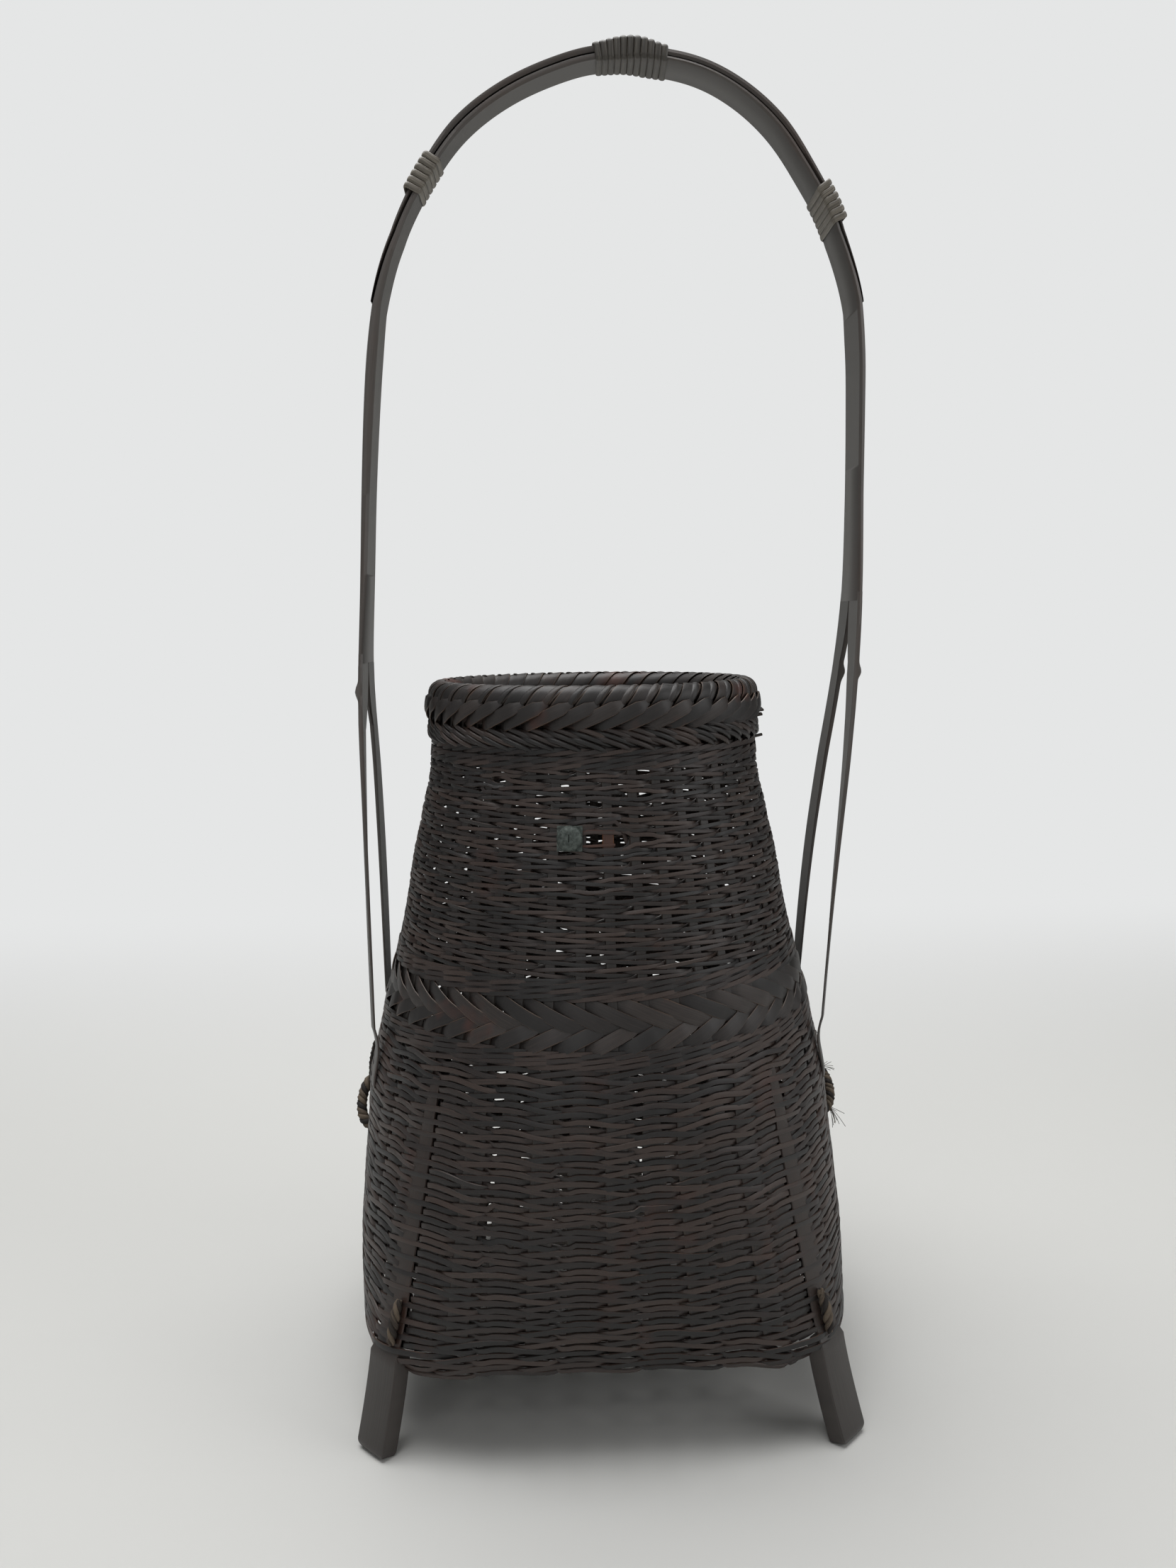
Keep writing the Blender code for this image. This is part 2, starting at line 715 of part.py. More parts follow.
def make_hoop(material):
    """One bamboo strip bent to an arch, split at both ends into a front and a back leg."""
    length = float(arch_travel[-1])
    steps = 40
    vertices = []
    faces = []

    def add_loop(points):
        start = len(vertices)
        vertices.extend(points)
        return list(range(start, start + len(points)))

    def join(one, two, keys):
        for a, b in keys:
            faces.append((one[a], one[b], two[b], two[a]))

    # Corners of a loop: four on the outer face from front to back, then four on the inner face
    loops = []
    for i in range(steps + 1):
        distance = length * i / steps
        place, along, normal = arch_frame(min(max(distance, arch_probe), length - arch_probe))
        place[0] = np.interp(distance, arch_travel, arch_points[:, 0])
        place[2] = np.interp(distance, arch_travel, arch_points[:, 1])
        depth = half_depth(place[2])
        if i in (0, steps):
            normal = np.array([-1.0 if i == 0 else 1.0, 0.0, 0.0])
        outer = place + normal * 0.0
        inner = place - normal * hoop_thickness
        middle = min(0.5 * crotch_gap, 0.5 * depth)
        sides = (-depth, -middle, middle, depth)
        loop = [outer + np.array([0.0, y, 0.0]) for y in sides]
        loop += [inner + np.array([0.0, y, 0.0]) for y in sides]
        loops.append(add_loop(loop))
    strip_keys = [(0, 1), (1, 2), (2, 3), (3, 7), (7, 6), (6, 5), (5, 4), (4, 0)]
    for one, two in zip(loops, loops[1:]):
        join(one, two, strip_keys)
    for end, side, split in ((loops[0], -1, left_split_height), (loops[-1], 1, right_split_height)):
        faces.append((end[1], end[2], end[6], end[5]))
        for front in (True, False):
            sections = leg_sections(side, front, split)[1:]
            # Order of a leg's corners: far inner edge, far outer edge, near outer edge, near inner edge
            start = (end[1], end[0], end[4], end[5]) if front else (end[2], end[3], end[7], end[6])
            previous = list(start)
            for section in sections:
                loop = add_loop(section)
                join(previous, loop, [(0, 1), (1, 2), (2, 3), (3, 0)])
                previous = loop
            faces.append(tuple(previous))
    return add_object("handle_hoop", vertices, faces, material, 30)


def make_cover_strip(material):
    """A second strip over the arch, thinner towards its ends."""
    start = distance_at(arch_height(cover_end_share), False)
    end = distance_at(arch_height(cover_end_share), True)
    steps = 30
    sections = []
    for i in range(steps + 1):
        share = i / steps
        distance = start + share * (end - start)
        place, along, normal = arch_frame(distance)
        taper = smooth_step(min(share, 1 - share) / 0.12)
        thickness = cover_strip_tip_thickness + taper * (cover_strip_thickness - cover_strip_tip_thickness)
        depth = half_depth(place[2]) * (0.8 + 0.18 * taper)
        low = place + normal * 1.35 * joint_gap
        high = low + normal * thickness
        front = np.array([0.0, -depth, 0.0])
        sections.append([low + front, low - front, high - front, high + front])
    return add_loft("handle_cover_strip", sections, material, 30)


def make_lashing(name, centre_distance, loops, material):
    """A flat strip wound round both layers of the handle in one unbroken winding."""
    start = centre_distance - 0.5 * loops * lash_pitch
    clear = 2.2 * joint_gap + 0.5 * lash_thickness
    corner_steps = 3
    per_loop = 4 * corner_steps
    sections = []
    centres = []
    for i in range(loops * per_loop + 1):
        corner = (i // corner_steps) % 4
        quarter = (i % corner_steps) / (corner_steps - 1)
        distance = start + lash_pitch * i / per_loop
        place, along, normal = arch_frame(distance)
        depth = half_depth(place[2]) + clear
        high = 1.35 * joint_gap + cover_strip_thickness + clear
        low = -hoop_thickness - clear
        radius = lash_corner_radius
        centre_y = (depth - radius) * (1, -1, -1, 1)[corner]
        centre_n = (high - radius, high - radius, low + radius, low + radius)[corner]
        turn = math.pi / 2 * (corner + quarter)
        ring = np.array([0.0, math.cos(turn), 0.0]) + normal * math.sin(turn)
        centre = place + np.array([0.0, centre_y, 0.0]) + normal * centre_n + ring * radius
        half = along * 0.5 * lash_width
        rise = ring * 0.5 * lash_thickness
        sections.append([centre - half - rise, centre + half - rise, centre + half + rise, centre - half + rise])
        centres.append(centre)
    # The two ends run straight for one strip width
    first_way = (centres[0] - centres[1]) / np.linalg.norm(centres[0] - centres[1])
    sections.insert(0, [p + first_way * lash_width for p in sections[0]])
    last_way = (centres[-1] - centres[-2]) / np.linalg.norm(centres[-1] - centres[-2])
    sections.append([p + last_way * lash_width for p in sections[-1]])
    points = np.array(centres)
    gap = min(
        float(np.linalg.norm(points[i] - points[i + per_loop])) - lash_width
        for i in range(len(points) - per_loop)
    )
    print(f"{name}: {loops} loops, least gap between loops {gap / mm:.2f} mm")
    return add_loft(name, sections, material, 40)


def add_tube(name, points, radius, sides, material):
    """A round cord through a row of points."""
    sections = []
    count = len(points)
    for i in range(count):
        before = points[max(i - 1, 0)]
        after = points[min(i + 1, count - 1)]
        way = Vector(after - before).normalized()
        up = Vector((0.0, 0.0, 1.0)) if abs(way.z) < 0.9 else Vector((0.0, 1.0, 0.0))
        across = way.cross(up).normalized()
        rise = across.cross(way)
        ring = []
        for k in range(sides):
            a = 2 * math.pi * k / sides
            ring.append(points[i] + radius * (np.array(across) * math.cos(a) + np.array(rise) * math.sin(a)))
        sections.append(ring)
    return add_loft(name, sections, material)


def make_side_tie(name, side, material):
    """A cord loop that stands out of the wall between the handle's two legs."""
    points = []
    steps = 12
    for i in range(steps + 1):
        share = i / steps
        turn = math.pi * share
        height = side_tie_height - side_tie_drop * (0.5 - 0.5 * math.cos(turn))
        half_width, exponent = section_at(height)
        wall = section_radius(half_width, exponent, 0.0)
        reach = wall + joint_gap + 0.3 * cord_radius + side_tie_reach * math.sin(turn)
        y = 0.35 * side_tie_drop * math.cos(turn)
        points.append(np.array([side * reach, y, height]))
    return add_tube(name, points, cord_radius, 6, material)


# Stud: a domed slotted disc on a square plate, on the outside of the upper wall.
# Both are modelled flat, with +Z outwards, and ride on an empty that sits on the wall.
def wall_frame(azimuth, height):
    half_width, exponent = section_at(height)
    angle = math.radians(azimuth)
    radius = section_radius(half_width, exponent, angle)
    above, _ = section_at(height + slope_probe)
    below, _ = section_at(height - slope_probe)
    slope = (above - below) / (2 * slope_probe)
    out = Vector((math.cos(angle), math.sin(angle), -slope)).normalized()
    across = Vector((-math.sin(angle), math.cos(angle), 0.0))
    up = out.cross(across)
    place = Vector((radius * math.cos(angle), radius * math.sin(angle), height))
    turned = Matrix((across, up, out)).transposed().to_4x4()
    return Matrix.Translation(place) @ turned


def add_block(name, half_x, half_y, low, high, material):
    corners = ((-half_x, -half_y), (half_x, -half_y), (half_x, half_y), (-half_x, half_y))
    return add_loft(name, [[(x, y, level) for x, y in corners] for level in (low, high)], material)


def make_stud(material):
    mount = bpy.data.objects.new("stud_mount", None)
    bpy.context.scene.collection.objects.link(mount)
    mount.matrix_world = wall_frame(stud_azimuth, stud_height)
    lift = 2 * joint_gap
    half_side = 0.5 * stud_plate_side
    plate = add_block("stud_plate", half_side, half_side, lift, lift + stud_plate_thickness, material)

    sides = 24
    dome_steps = 4
    profile = [(1.0, 0.0), (1.0, stud_edge)]
    for i in range(1, dome_steps):
        turn = math.pi / 2 * i / dome_steps
        profile.append((math.cos(turn), stud_edge + stud_dome * math.sin(turn)))
    rings = []
    for share, level in profile:
        turns = [2 * math.pi * k / sides for k in range(sides)]
        rings.append([(stud_radius * share * math.cos(a), stud_radius * share * math.sin(a), level) for a in turns])
    disc = add_loft("stud_disc", rings, material)
    disc.location = (0.0, 0.0, lift + stud_plate_thickness + joint_gap)
    top = stud_edge + stud_dome
    half_slot = 0.5 * stud_slot_length
    cutter = add_block("stud_slot_cutter", 0.5 * stud_slot_width, half_slot, top - stud_slot_depth, top + overrun, material)
    cut_with(disc, cutter, "slot")
    plate.parent = mount
    disc.parent = mount


def main():
    for thing in list(bpy.data.objects):
        bpy.data.objects.remove(thing)
    weft = make_material("dyed_bamboo_weft", "#3c3734", 0.55)
    stake = make_material("dyed_bamboo_stake", "#403b36", 0.5)
    band = make_material("dyed_bamboo_band", "#46403b", 0.45)
    braid = make_material("dyed_bamboo_braid", "#4a4642", 0.5)
    slat = make_material("smoked_bamboo_slat", "#433a33", 0.45)
    hoop = make_material("smoked_bamboo_hoop", "#4a4440", 0.42)
    rattan = make_material("rattan_lashing", "#6b655c", 0.5)
    cord = make_material("twisted_cord", "#3a332c", 0.8)
    iron = make_material("patinated_iron", "#54564f", 0.55, 0.7)

    make_lower_wall(weft)
    make_waist_band(band)
    make_upper_wall(weft)
    make_collar(weft)
    make_rim(braid)
    make_stakes(stake)
    foot_sections = make_foot_mesh()
    for i, name in enumerate(("front_right", "back_right", "back_left", "front_left")):
        angle = (i - 0.5) * math.pi / 2
        make_foot_slat(f"foot_slat_{name}", angle, foot_sections, slat)
        make_foot_tie(f"foot_tie_{name}", angle, 1 if i % 2 else -1, cord)
    make_hoop(hoop)
    make_cover_strip(hoop)
    make_lashing("top_lashing", apex_distance, top_lash_loops, rattan)
    make_lashing("left_lashing", distance_at(arch_height(left_lash_share), False), left_lash_loops, rattan)
    make_lashing("right_lashing", distance_at(arch_height(right_lash_share), True), right_lash_loops, rattan)
    make_side_tie("side_tie_left", -1, cord)
    make_side_tie("side_tie_right", 1, cord)
    make_stud(iron)
    for thing in [t for t in bpy.data.objects if t.type == "MESH"]:
        mesh = thing.data
        print(f"{thing.name}: {sum(len(p.vertices) - 2 for p in mesh.polygons)} triangles")


main()
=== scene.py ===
import bpy
import math
import numpy as np
from mathutils import Matrix


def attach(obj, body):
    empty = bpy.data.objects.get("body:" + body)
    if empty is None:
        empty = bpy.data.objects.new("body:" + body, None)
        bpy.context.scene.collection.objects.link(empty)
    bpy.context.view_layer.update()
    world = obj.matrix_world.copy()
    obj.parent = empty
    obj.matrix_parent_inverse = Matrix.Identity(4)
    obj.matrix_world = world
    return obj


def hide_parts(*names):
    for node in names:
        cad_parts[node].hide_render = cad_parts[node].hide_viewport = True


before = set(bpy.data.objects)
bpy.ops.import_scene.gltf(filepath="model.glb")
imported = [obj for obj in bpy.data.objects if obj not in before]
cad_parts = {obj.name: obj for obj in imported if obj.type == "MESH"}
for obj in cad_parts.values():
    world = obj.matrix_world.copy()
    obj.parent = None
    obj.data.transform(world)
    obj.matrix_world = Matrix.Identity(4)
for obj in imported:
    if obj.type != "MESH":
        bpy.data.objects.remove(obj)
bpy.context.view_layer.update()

# Shapes are in millimetres until a mesh is made, and one seeded generator makes every run the same
mm = 0.001
stakeCount = 45
chance = np.random.default_rng(11)


def smoothThrough(x, xs, ys):
    # Smooth curve through known points that never swings past them
    x, xs, ys = (np.asarray(v, float) for v in (x, xs, ys))
    step = np.diff(xs)
    rise = np.diff(ys) / step
    slope = np.concatenate([[rise[0]], np.zeros(len(xs) - 2), [rise[-1]]])
    for i in range(1, len(xs) - 1):
        if rise[i - 1] * rise[i] > 0:
            slope[i] = 2 * rise[i - 1] * rise[i] / (rise[i - 1] + rise[i])
    i = np.clip(np.searchsorted(xs, x) - 1, 0, len(xs) - 2)
    t = np.clip((x - xs[i]) / step[i], 0, 1)
    a = ys[i] * (1 + 2 * t) * (1 - t) ** 2 + slope[i] * step[i] * t * (1 - t) ** 2
    b = ys[i + 1] * t * t * (3 - 2 * t) + slope[i + 1] * step[i] * t * t * (t - 1)
    return a + b


def tableAt(place, table):
    # Smooth curve through a table of (place, value)
    knots = np.array(table)
    return smoothThrough(place, knots[:, 0], knots[:, 1])


def unit(vectors):
    return vectors / np.maximum(np.linalg.norm(vectors, axis=-1, keepdims=True), 1e-12)


def linearColour(hexText):
    # sRGB hex text to the linear colour that a shader takes
    channels = [int(hexText[i:i + 2], 16) / 255 for i in (1, 3, 5)]
    return tuple(c / 12.92 if c <= 0.04045 else ((c + 0.055) / 1.055) ** 2.4 for c in channels) + (1.0,)


def addObject(name, data, ways=None, place=(0.0, 0.0, 0.0)):
    # Puts an object in the scene; ways are its own x, y and z directions
    made = bpy.data.objects.new(name, data)
    bpy.context.scene.collection.objects.link(made)
    if ways is not None:
        matrix = np.eye(4)
        matrix[:3, :3] = np.stack(ways, 1)
        matrix[:3, 3] = place
        made.matrix_world = Matrix(matrix.tolist())
    return made


def addNode(tree, kind, settings=None, links=None):
    # Adds a node; settings go to its sockets or its own options, links come from other nodes' sockets
    node = tree.nodes.new(kind)
    for key, value in (settings or {}).items():
        if isinstance(key, str) and hasattr(node, key):
            setattr(node, key, value)
        else:
            node.inputs[key].default_value = value
    for key, socket in (links or {}).items():
        tree.links.new(socket, node.inputs[key])
    return node


def newMaterial(name):
    material = bpy.data.materials.new(name)
    material.use_nodes = True
    tree = material.node_tree
    tree.nodes.clear()
    return material, tree


def mathNode(tree, operation, links, second=None):
    # The number, where there is one, goes to the second socket
    settings = {"operation": operation}
    if second is not None:
        settings[1] = second
    return addNode(tree, "ShaderNodeMath", settings, links).outputs[0]


def rangeNode(tree, socket, settings):
    return addNode(tree, "ShaderNodeMapRange", settings, {0: socket}).outputs[0]


def noiseNode(tree, scale, detail, roughness, place):
    settings = {"Scale": scale, "Detail": detail, "Roughness": roughness}
    return addNode(tree, "ShaderNodeTexNoise", settings, {"Vector": place}).outputs[0]


def rampNode(tree, socket, stops):
    # Colours along a ramp; each stop is a position and a hex colour
    node = addNode(tree, "ShaderNodeValToRGB", links={0: socket})
    elements = node.color_ramp.elements
    for index, (position, colour) in ((0, stops[0]), (1, stops[-1])):
        elements[index].position = position
        elements[index].color = linearColour(colour)
    for position, colour in stops[1:-1]:
        elements.new(position).color = linearColour(colour)
    return node.outputs[0]


def layNode(tree, share, below, colour):
    # Lays one colour over another by a share
    settings = {"data_type": "RGBA", 7: linearColour(colour)}
    return addNode(tree, "ShaderNodeMix", settings, {0: share, 6: below}).outputs[2]


def addSurface(tree, settings, links):
    shader = addNode(tree, "ShaderNodeBsdfPrincipled", settings, links)
    addNode(tree, "ShaderNodeOutputMaterial", links={0: shader.outputs[0]})


# Grain that all bamboo, rattan and cord share: shift from strip to strip in fibre lengths, places of the
# three tones on the noise, depth of the relief in metres, and how softly rubbed patches and worn edges begin
grain = {
    "stripShift": 61.7, "toneStops": (0.28, 0.52, 0.78), "detail": 3.0, "fibreRoughness": 0.65,
    "patchRoughness": 0.6,
    "reliefDepth": 0.00008, "rubBlend": 0.12, "edgeBlend": 0.08, "edgeBreakup": 0.25, "smoother": 0.08,
    "rougher": 0.16,
    "coatRoughness": 0.32,
}


def bambooMaterial(name, look):
    # Split bamboo: fine fibres along the strip, dye rubbed off its edges, a satin skin
    g = grain
    material, tree = newMaterial(name)
    uv = addNode(tree, "ShaderNodeUVMap", {"uv_map": "strip"})
    strip = addNode(tree, "ShaderNodeNewGeometry").outputs["Random Per Island"]
    place = addNode(tree, "ShaderNodeSeparateXYZ", links={0: uv.outputs[0]})
    along, across = place.outputs[0], place.outputs[1]
    shift = mathNode(tree, "MULTIPLY", {0: strip}, g["stripShift"])
    lengthwise = mathNode(tree, "MULTIPLY_ADD", {0: along, 2: shift}, 1 / look["fibreLength"])
    crosswise = mathNode(tree, "MULTIPLY", {0: across}, look["fibresAcross"])
    fibrePlace = addNode(tree, "ShaderNodeCombineXYZ", links={0: lengthwise, 1: crosswise, 2: shift})
    fibres = noiseNode(tree, 1.0, g["detail"], g["fibreRoughness"], fibrePlace.outputs[0])
    objectPlace = addNode(tree, "ShaderNodeTexCoord").outputs["Object"]
    patches = noiseNode(tree, 1 / (look["patchSize"] * mm), g["detail"], g["patchRoughness"], objectPlace)
    # Tone: each strip took the dye a little differently
    tone = rangeNode(tree, strip, {"To Min": -look["toneSpread"], "To Max": look["toneSpread"]})
    toned = mathNode(tree, "ADD", {0: fibres, 1: tone})
    body = rampNode(tree, toned, list(zip(g["toneStops"], (look["dark"], look["middle"], look["light"]))))
    # Rubbed patches where the red brown under the dye shows
    rubEnd = look["rubStart"] + g["rubBlend"]
    patchShare = rangeNode(tree, patches, {"From Min": look["rubStart"], "From Max": rubEnd,
                                           "To Max": look["rubMost"]})
    rubbed = layNode(tree, patchShare, body, look["rubbed"])
    # Worn edges: distance from the middle of the strip, broken up by the patches
    fromMiddle = mathNode(tree, "SUBTRACT", {0: across}, 0.5)
    edge = mathNode(tree, "ABSOLUTE", {0: fromMiddle})
    broken = mathNode(tree, "MULTIPLY_ADD", {0: patches, 2: edge}, g["edgeBreakup"])
    edgeEnd = look["edgeStart"] + g["edgeBlend"]
    edgeShare = rangeNode(tree, broken, {"From Min": look["edgeStart"], "From Max": edgeEnd,
                                         "To Max": look["edgeMost"]})
    worn = layNode(tree, edgeShare, rubbed, look["worn"])
    smoothest, roughest = look["roughness"] - g["smoother"], look["roughness"] + g["rougher"]
    gloss = rangeNode(tree, fibres, {"To Min": smoothest, "To Max": roughest})
    relief = addNode(tree, "ShaderNodeBump", {"Strength": look["relief"], "Distance": g["reliefDepth"]},
                     {"Height": fibres})
    addSurface(tree, {"IOR": look["ior"], "Coat Weight": look["coat"], "Coat Roughness": g["coatRoughness"]},
               {"Base Color": worn, "Roughness": gloss, "Normal": relief.outputs[0]})
    return material


# Looks in sRGB colours; fibreLength and patchSize in millimetres, fibresAcross as fibres over a strip
# Wefts: bamboo split to 2 mm, dyed almost black and rubbed; fibres about 0.15 mm apart
weftLook = {"dark": "#0b0807", "middle": "#1f1512", "light": "#392c26", "rubbed": "#402117",
            "worn": "#5d4c40", "ior": 1.5, "roughness": 0.46, "coat": 0.08, "relief": 0.5, "fibreLength": 9.0,
            "fibresAcross": 13.0, "patchSize": 28.0, "rubStart": 0.6, "rubMost": 0.5, "edgeStart": 0.56,
            "edgeMost": 0.35, "toneSpread": 0.34}
# Stakes: wider splits with the smooth skin outside
stakeLook = dict(weftLook, dark="#191513", middle="#2e2926", light="#45403b", fibreLength=14.0,
                 fibresAcross=34.0)
# Braid strips: wide skins, bent over and rubbed by hands
braidLook = dict(weftLook, dark="#0d0a09", middle="#1d1715", light="#352d29", worn="#715a48",
                 fibreLength=12.0, fibresAcross=28.0, rubMost=0.7, rubStart=0.56, rubbed="#4c261b",
                 edgeMost=0.45, toneSpread=0.2)
# Scraped strips: the dye is gone and the bamboo has aged to a red brown, on wefts less than on the stake
scrapedLook = dict(stakeLook, dark="#3a2218", middle="#5e3c2a", light="#80563d", worn="#94694c",
                   rubbed="#4a2c1e", edgeMost=0.4)
rubbedLook = dict(weftLook, dark="#24140e", middle="#3e2318", light="#5a3626", worn="#6d4a36")
# Handle: a smoked culm skin with long fibres; its cover strip takes the same colours darkened, as painted
# shade
hoopLook = dict(weftLook, dark="#242220", middle="#3a3835", light="#4f4c49", worn="#5a4438", rubMost=0.15,
                edgeMost=0.25, fibreLength=30.0, fibresAcross=70.0, patchSize=45.0, roughness=0.42, coat=0.15)
# The cover strip: the handle's culm colours made darker, painted shade for its shaded front face
coverShadedLook = dict(hoopLook, dark="#191715", middle="#2a2826", light="#3c3936")
# Feet and slats: smoked culm too; the thick ends are planed grey,
# and the slats in the weave kept a brown skin
footLook = dict(hoopLook, dark="#1f1b19", middle="#302b28", light="#45403c", rubbed="#38241d", rubMost=0.3,
                edgeMost=0.06)
slatLook = dict(footLook, dark="#130d0a", middle="#231812", light="#37271f", rubbed="#3d2317", rubMost=0.6,
                roughness=0.5)
# Lashings: split rattan gone grey, with a round glossy back
rattanLook = dict(weftLook, dark="#38342e", middle="#6d675d", light="#989083", rubbed="#35302b", rubMost=0.7,
                  worn="#8a8174", edgeMost=0.15, fibreLength=12.0, fibresAcross=12.0, roughness=0.42,
                  coat=0.15)
# Ties: twisted plant fibre, matte and hairy
cordLook = dict(weftLook, dark="#1a1512", middle="#3a322b", light="#635749", rubMost=0.2, edgeMost=0.0,
                fibreLength=2.5, fibresAcross=8.0, roughness=0.78, coat=0.0, relief=0.8)
weftMaterial = bambooMaterial("splitBambooDyedWeft", weftLook)
stakeMaterial = bambooMaterial("splitBambooDyedStake", stakeLook)
braidMaterial = bambooMaterial("bambooSkinBraidRubbed", braidLook)
scrapedMaterial = bambooMaterial("splitBambooScraped", scrapedLook)
rubbedMaterial = bambooMaterial("splitBambooDyeScraped", rubbedLook)
hoopMaterial = bambooMaterial("bambooCulmSmokedHandle", hoopLook)
# The cover strip's material is the handle's, darkened as painted shade
coverShadedMaterial = bambooMaterial("bambooCulmSmokedCoverShaded", coverShadedLook)
slatMaterial = bambooMaterial("bambooCulmSmokedSlat", slatLook)
footMaterial = bambooMaterial("bambooCulmSmokedFoot", footLook)
rattanMaterial = bambooMaterial("rattanSplitGreyed", rattanLook)
cordMaterial = bambooMaterial("plantFibreTwisted", cordLook)


# Stud: forged iron with a dull grey-green patina, pitted every millimetre or so; sizes in millimetres
iron = {"dark": (0.35, "#272d2a"), "light": (0.7, "#626a65"), "pitSize": 1.4, "pitDepth": 0.15,
        "nodes": ("stud_disc", "stud_plate")}


def ironMaterial():
    material, tree = newMaterial("ironForgedPatina")
    objectPlace = addNode(tree, "ShaderNodeTexCoord").outputs["Object"]
    pits = noiseNode(tree, 1 / (iron["pitSize"] * mm), 4.0, 0.7, objectPlace)
    tone = rampNode(tree, pits, (iron["dark"], iron["light"]))
    relief = addNode(tree, "ShaderNodeBump", {"Strength": 0.5, "Distance": iron["pitDepth"] * mm},
                     {"Height": pits})
    addSurface(tree, {"Metallic": 0.4, "Roughness": 0.55}, {"Base Color": tone, "Normal": relief.outputs[0]})
    return material


studMaterial = ironMaterial()
for node in iron["nodes"]:
    stud = bpy.data.objects[node]
    stud.data.materials.clear()
    stud.data.materials.append(studMaterial)
print("materials made")


# Outline of the woven body: height, half width, squareness of the section. Stake 0 stands frontShare of a
# column to the right of the front's middle
body = {
    "outline": np.array([
        (20.0, 82.0, 4.8), (28.0, 86.0, 4.8), (33.5, 88.8, 4.5), (36.0, 89.6, 4.2), (40.0, 90.2, 3.8),
        (45.0, 90.9, 3.4), (50.0, 91.5, 3.1), (60.0, 92.0, 2.75), (70.0, 91.3, 2.58), (80.0, 90.8, 2.41),
        (90.0, 89.95, 2.28), (100.0, 89.2, 2.15), (110.0, 88.9, 2.0), (120.0, 86.8, 2.0), (130.0, 84.3, 2.0),
        (140.0, 81.9, 2.0), (145.0, 80.5, 2.0), (152.0, 78.8, 2.0), (160.0, 76.9, 2.0), (168.0, 75.05, 2.0),
        (176.0, 73.3, 2.0), (184.0, 71.8, 2.0), (192.0, 70.5, 2.0), (200.0, 69.0, 2.0), (208.0, 67.0, 2.0),
        (216.0, 65.4, 2.0), (224.0, 63.4, 2.0), (232.0, 62.25, 2.0), (240.0, 61.4, 2.0), (245.0, 60.9, 2.0),
        (250.0, 60.6, 2.0), (254.0, 60.8, 2.0), (262.0, 61.0, 2.0), (275.0, 61.2, 2.0),
    ]),
    "frontShare": 0.19, "bottom": 20.0, "top": 275.0, "columnStep": 0.125,
}


def outlineAt(height, value):
    # Value 1 is the half width and 2 the squareness
    return smoothThrough(height, body["outline"][:, 0], body["outline"][:, value])


def columnsApart(column, other):
    return (column - other + 0.5 * stakeCount) % stakeCount - 0.5 * stakeCount


def makeBodyGrid():
    # Points and outward normals of the body, one row for each millimetre of height, columns by arc length
    heights = np.arange(body["bottom"], body["top"] + 0.1, 1.0)
    columns = np.arange(0, stakeCount + 0.01, body["columnStep"])
    turns = np.linspace(-math.pi / 2, 1.5 * math.pi, 1441)
    rows = []
    for z in heights:
        a, n = outlineAt(z, 1), outlineAt(z, 2)
        radii = a / (np.abs(np.cos(turns)) ** n + np.abs(np.sin(turns)) ** n) ** (1 / n)
        ring = np.stack([radii * np.cos(turns), radii * np.sin(turns)], 1)
        way = np.concatenate([[0.0], np.cumsum(np.linalg.norm(np.diff(ring, axis=0), axis=1))])
        at = ((columns + body["frontShare"]) / stakeCount % 1.0) * way[-1]
        x, y = np.interp(at, way, ring[:, 0]), np.interp(at, way, ring[:, 1])
        rows.append(np.stack([x, y, np.full_like(x, z)], 1))
    points = np.array(rows)
    points[:, -1] = points[:, 0]
    alongColumn = np.gradient(points, axis=0)
    wrapped = np.concatenate([points[:, -2:-1], points, points[:, 1:2]], 1)
    normals = unit(np.cross(wrapped[:, 2:] - wrapped[:, :-2], alongColumn))
    return points, normals


gridPoints, gridNormals = makeBodyGrid()


def onBody(column, height, offset=0.0):
    # Points and outward normals on the woven body, in millimetres
    column, height, offset = np.broadcast_arrays(np.asarray(column, float), np.asarray(height, float),
                                                 np.asarray(offset, float))
    u = (column % stakeCount) / body["columnStep"]
    v = np.clip(height - body["bottom"], 0, gridPoints.shape[0] - 1.001)
    i, j = np.minimum(u.astype(int), gridPoints.shape[1] - 2), v.astype(int)
    s, t = (u - i)[..., None], (v - j)[..., None]

    def blend(grid):
        low = grid[j, i] * (1 - s) + grid[j, i + 1] * s
        high = grid[j + 1, i] * (1 - s) + grid[j + 1, i + 1] * s
        return low * (1 - t) + high * t

    normal = unit(blend(gridNormals))
    return blend(gridPoints) + normal * offset[..., None], normal


# Slats at the corners push the stakes beside them apart: stake, and where it really stands
corners = {
    "slatColumns": {"front_left": 39.3, "front_right": 5.3, "back_right": 16.6, "back_left": 27.8},
    "gapAfterStake": {39: 39.3, 5: 5.3, 16: 16.6, 27: 27.8},
    "pushed": np.array([
        (-4, -4), (-3, -3), (3, 3), (4, 3.85), (5, 4.67), (6, 6), (7, 7), (14, 14), (15, 14.95), (16, 15.97),
        (17, 17.2), (18, 18.1), (20, 20), (25, 25), (26, 25.95), (27, 27.1), (28, 28.42), (29, 29.3),
        (31, 31), (36, 36), (38, 37.85), (39, 38.67), (40, 39.93), (41, 41), (48, 48), (49, 48.85),
    ], float),
    "fullBelow": 110.0, "noneAbove": 136.0, "sag": 4.6, "sagTop": 72.0, "sagFull": 36.0, "sagSpread": 1.9,
}


def pushedColumn(column, height):
    # Column of a stake or of a strip beside it, pushed aside by the corner slats
    column, height = np.broadcast_arrays(np.asarray(column, float), np.asarray(height, float))
    share = np.clip((corners["noneAbove"] - height) / (corners["noneAbove"] - corners["fullBelow"]), 0, 1)
    wrapped = column % stakeCount
    moved = np.interp(wrapped, corners["pushed"][:, 0], corners["pushed"][:, 1]) - wrapped
    return column + moved * share


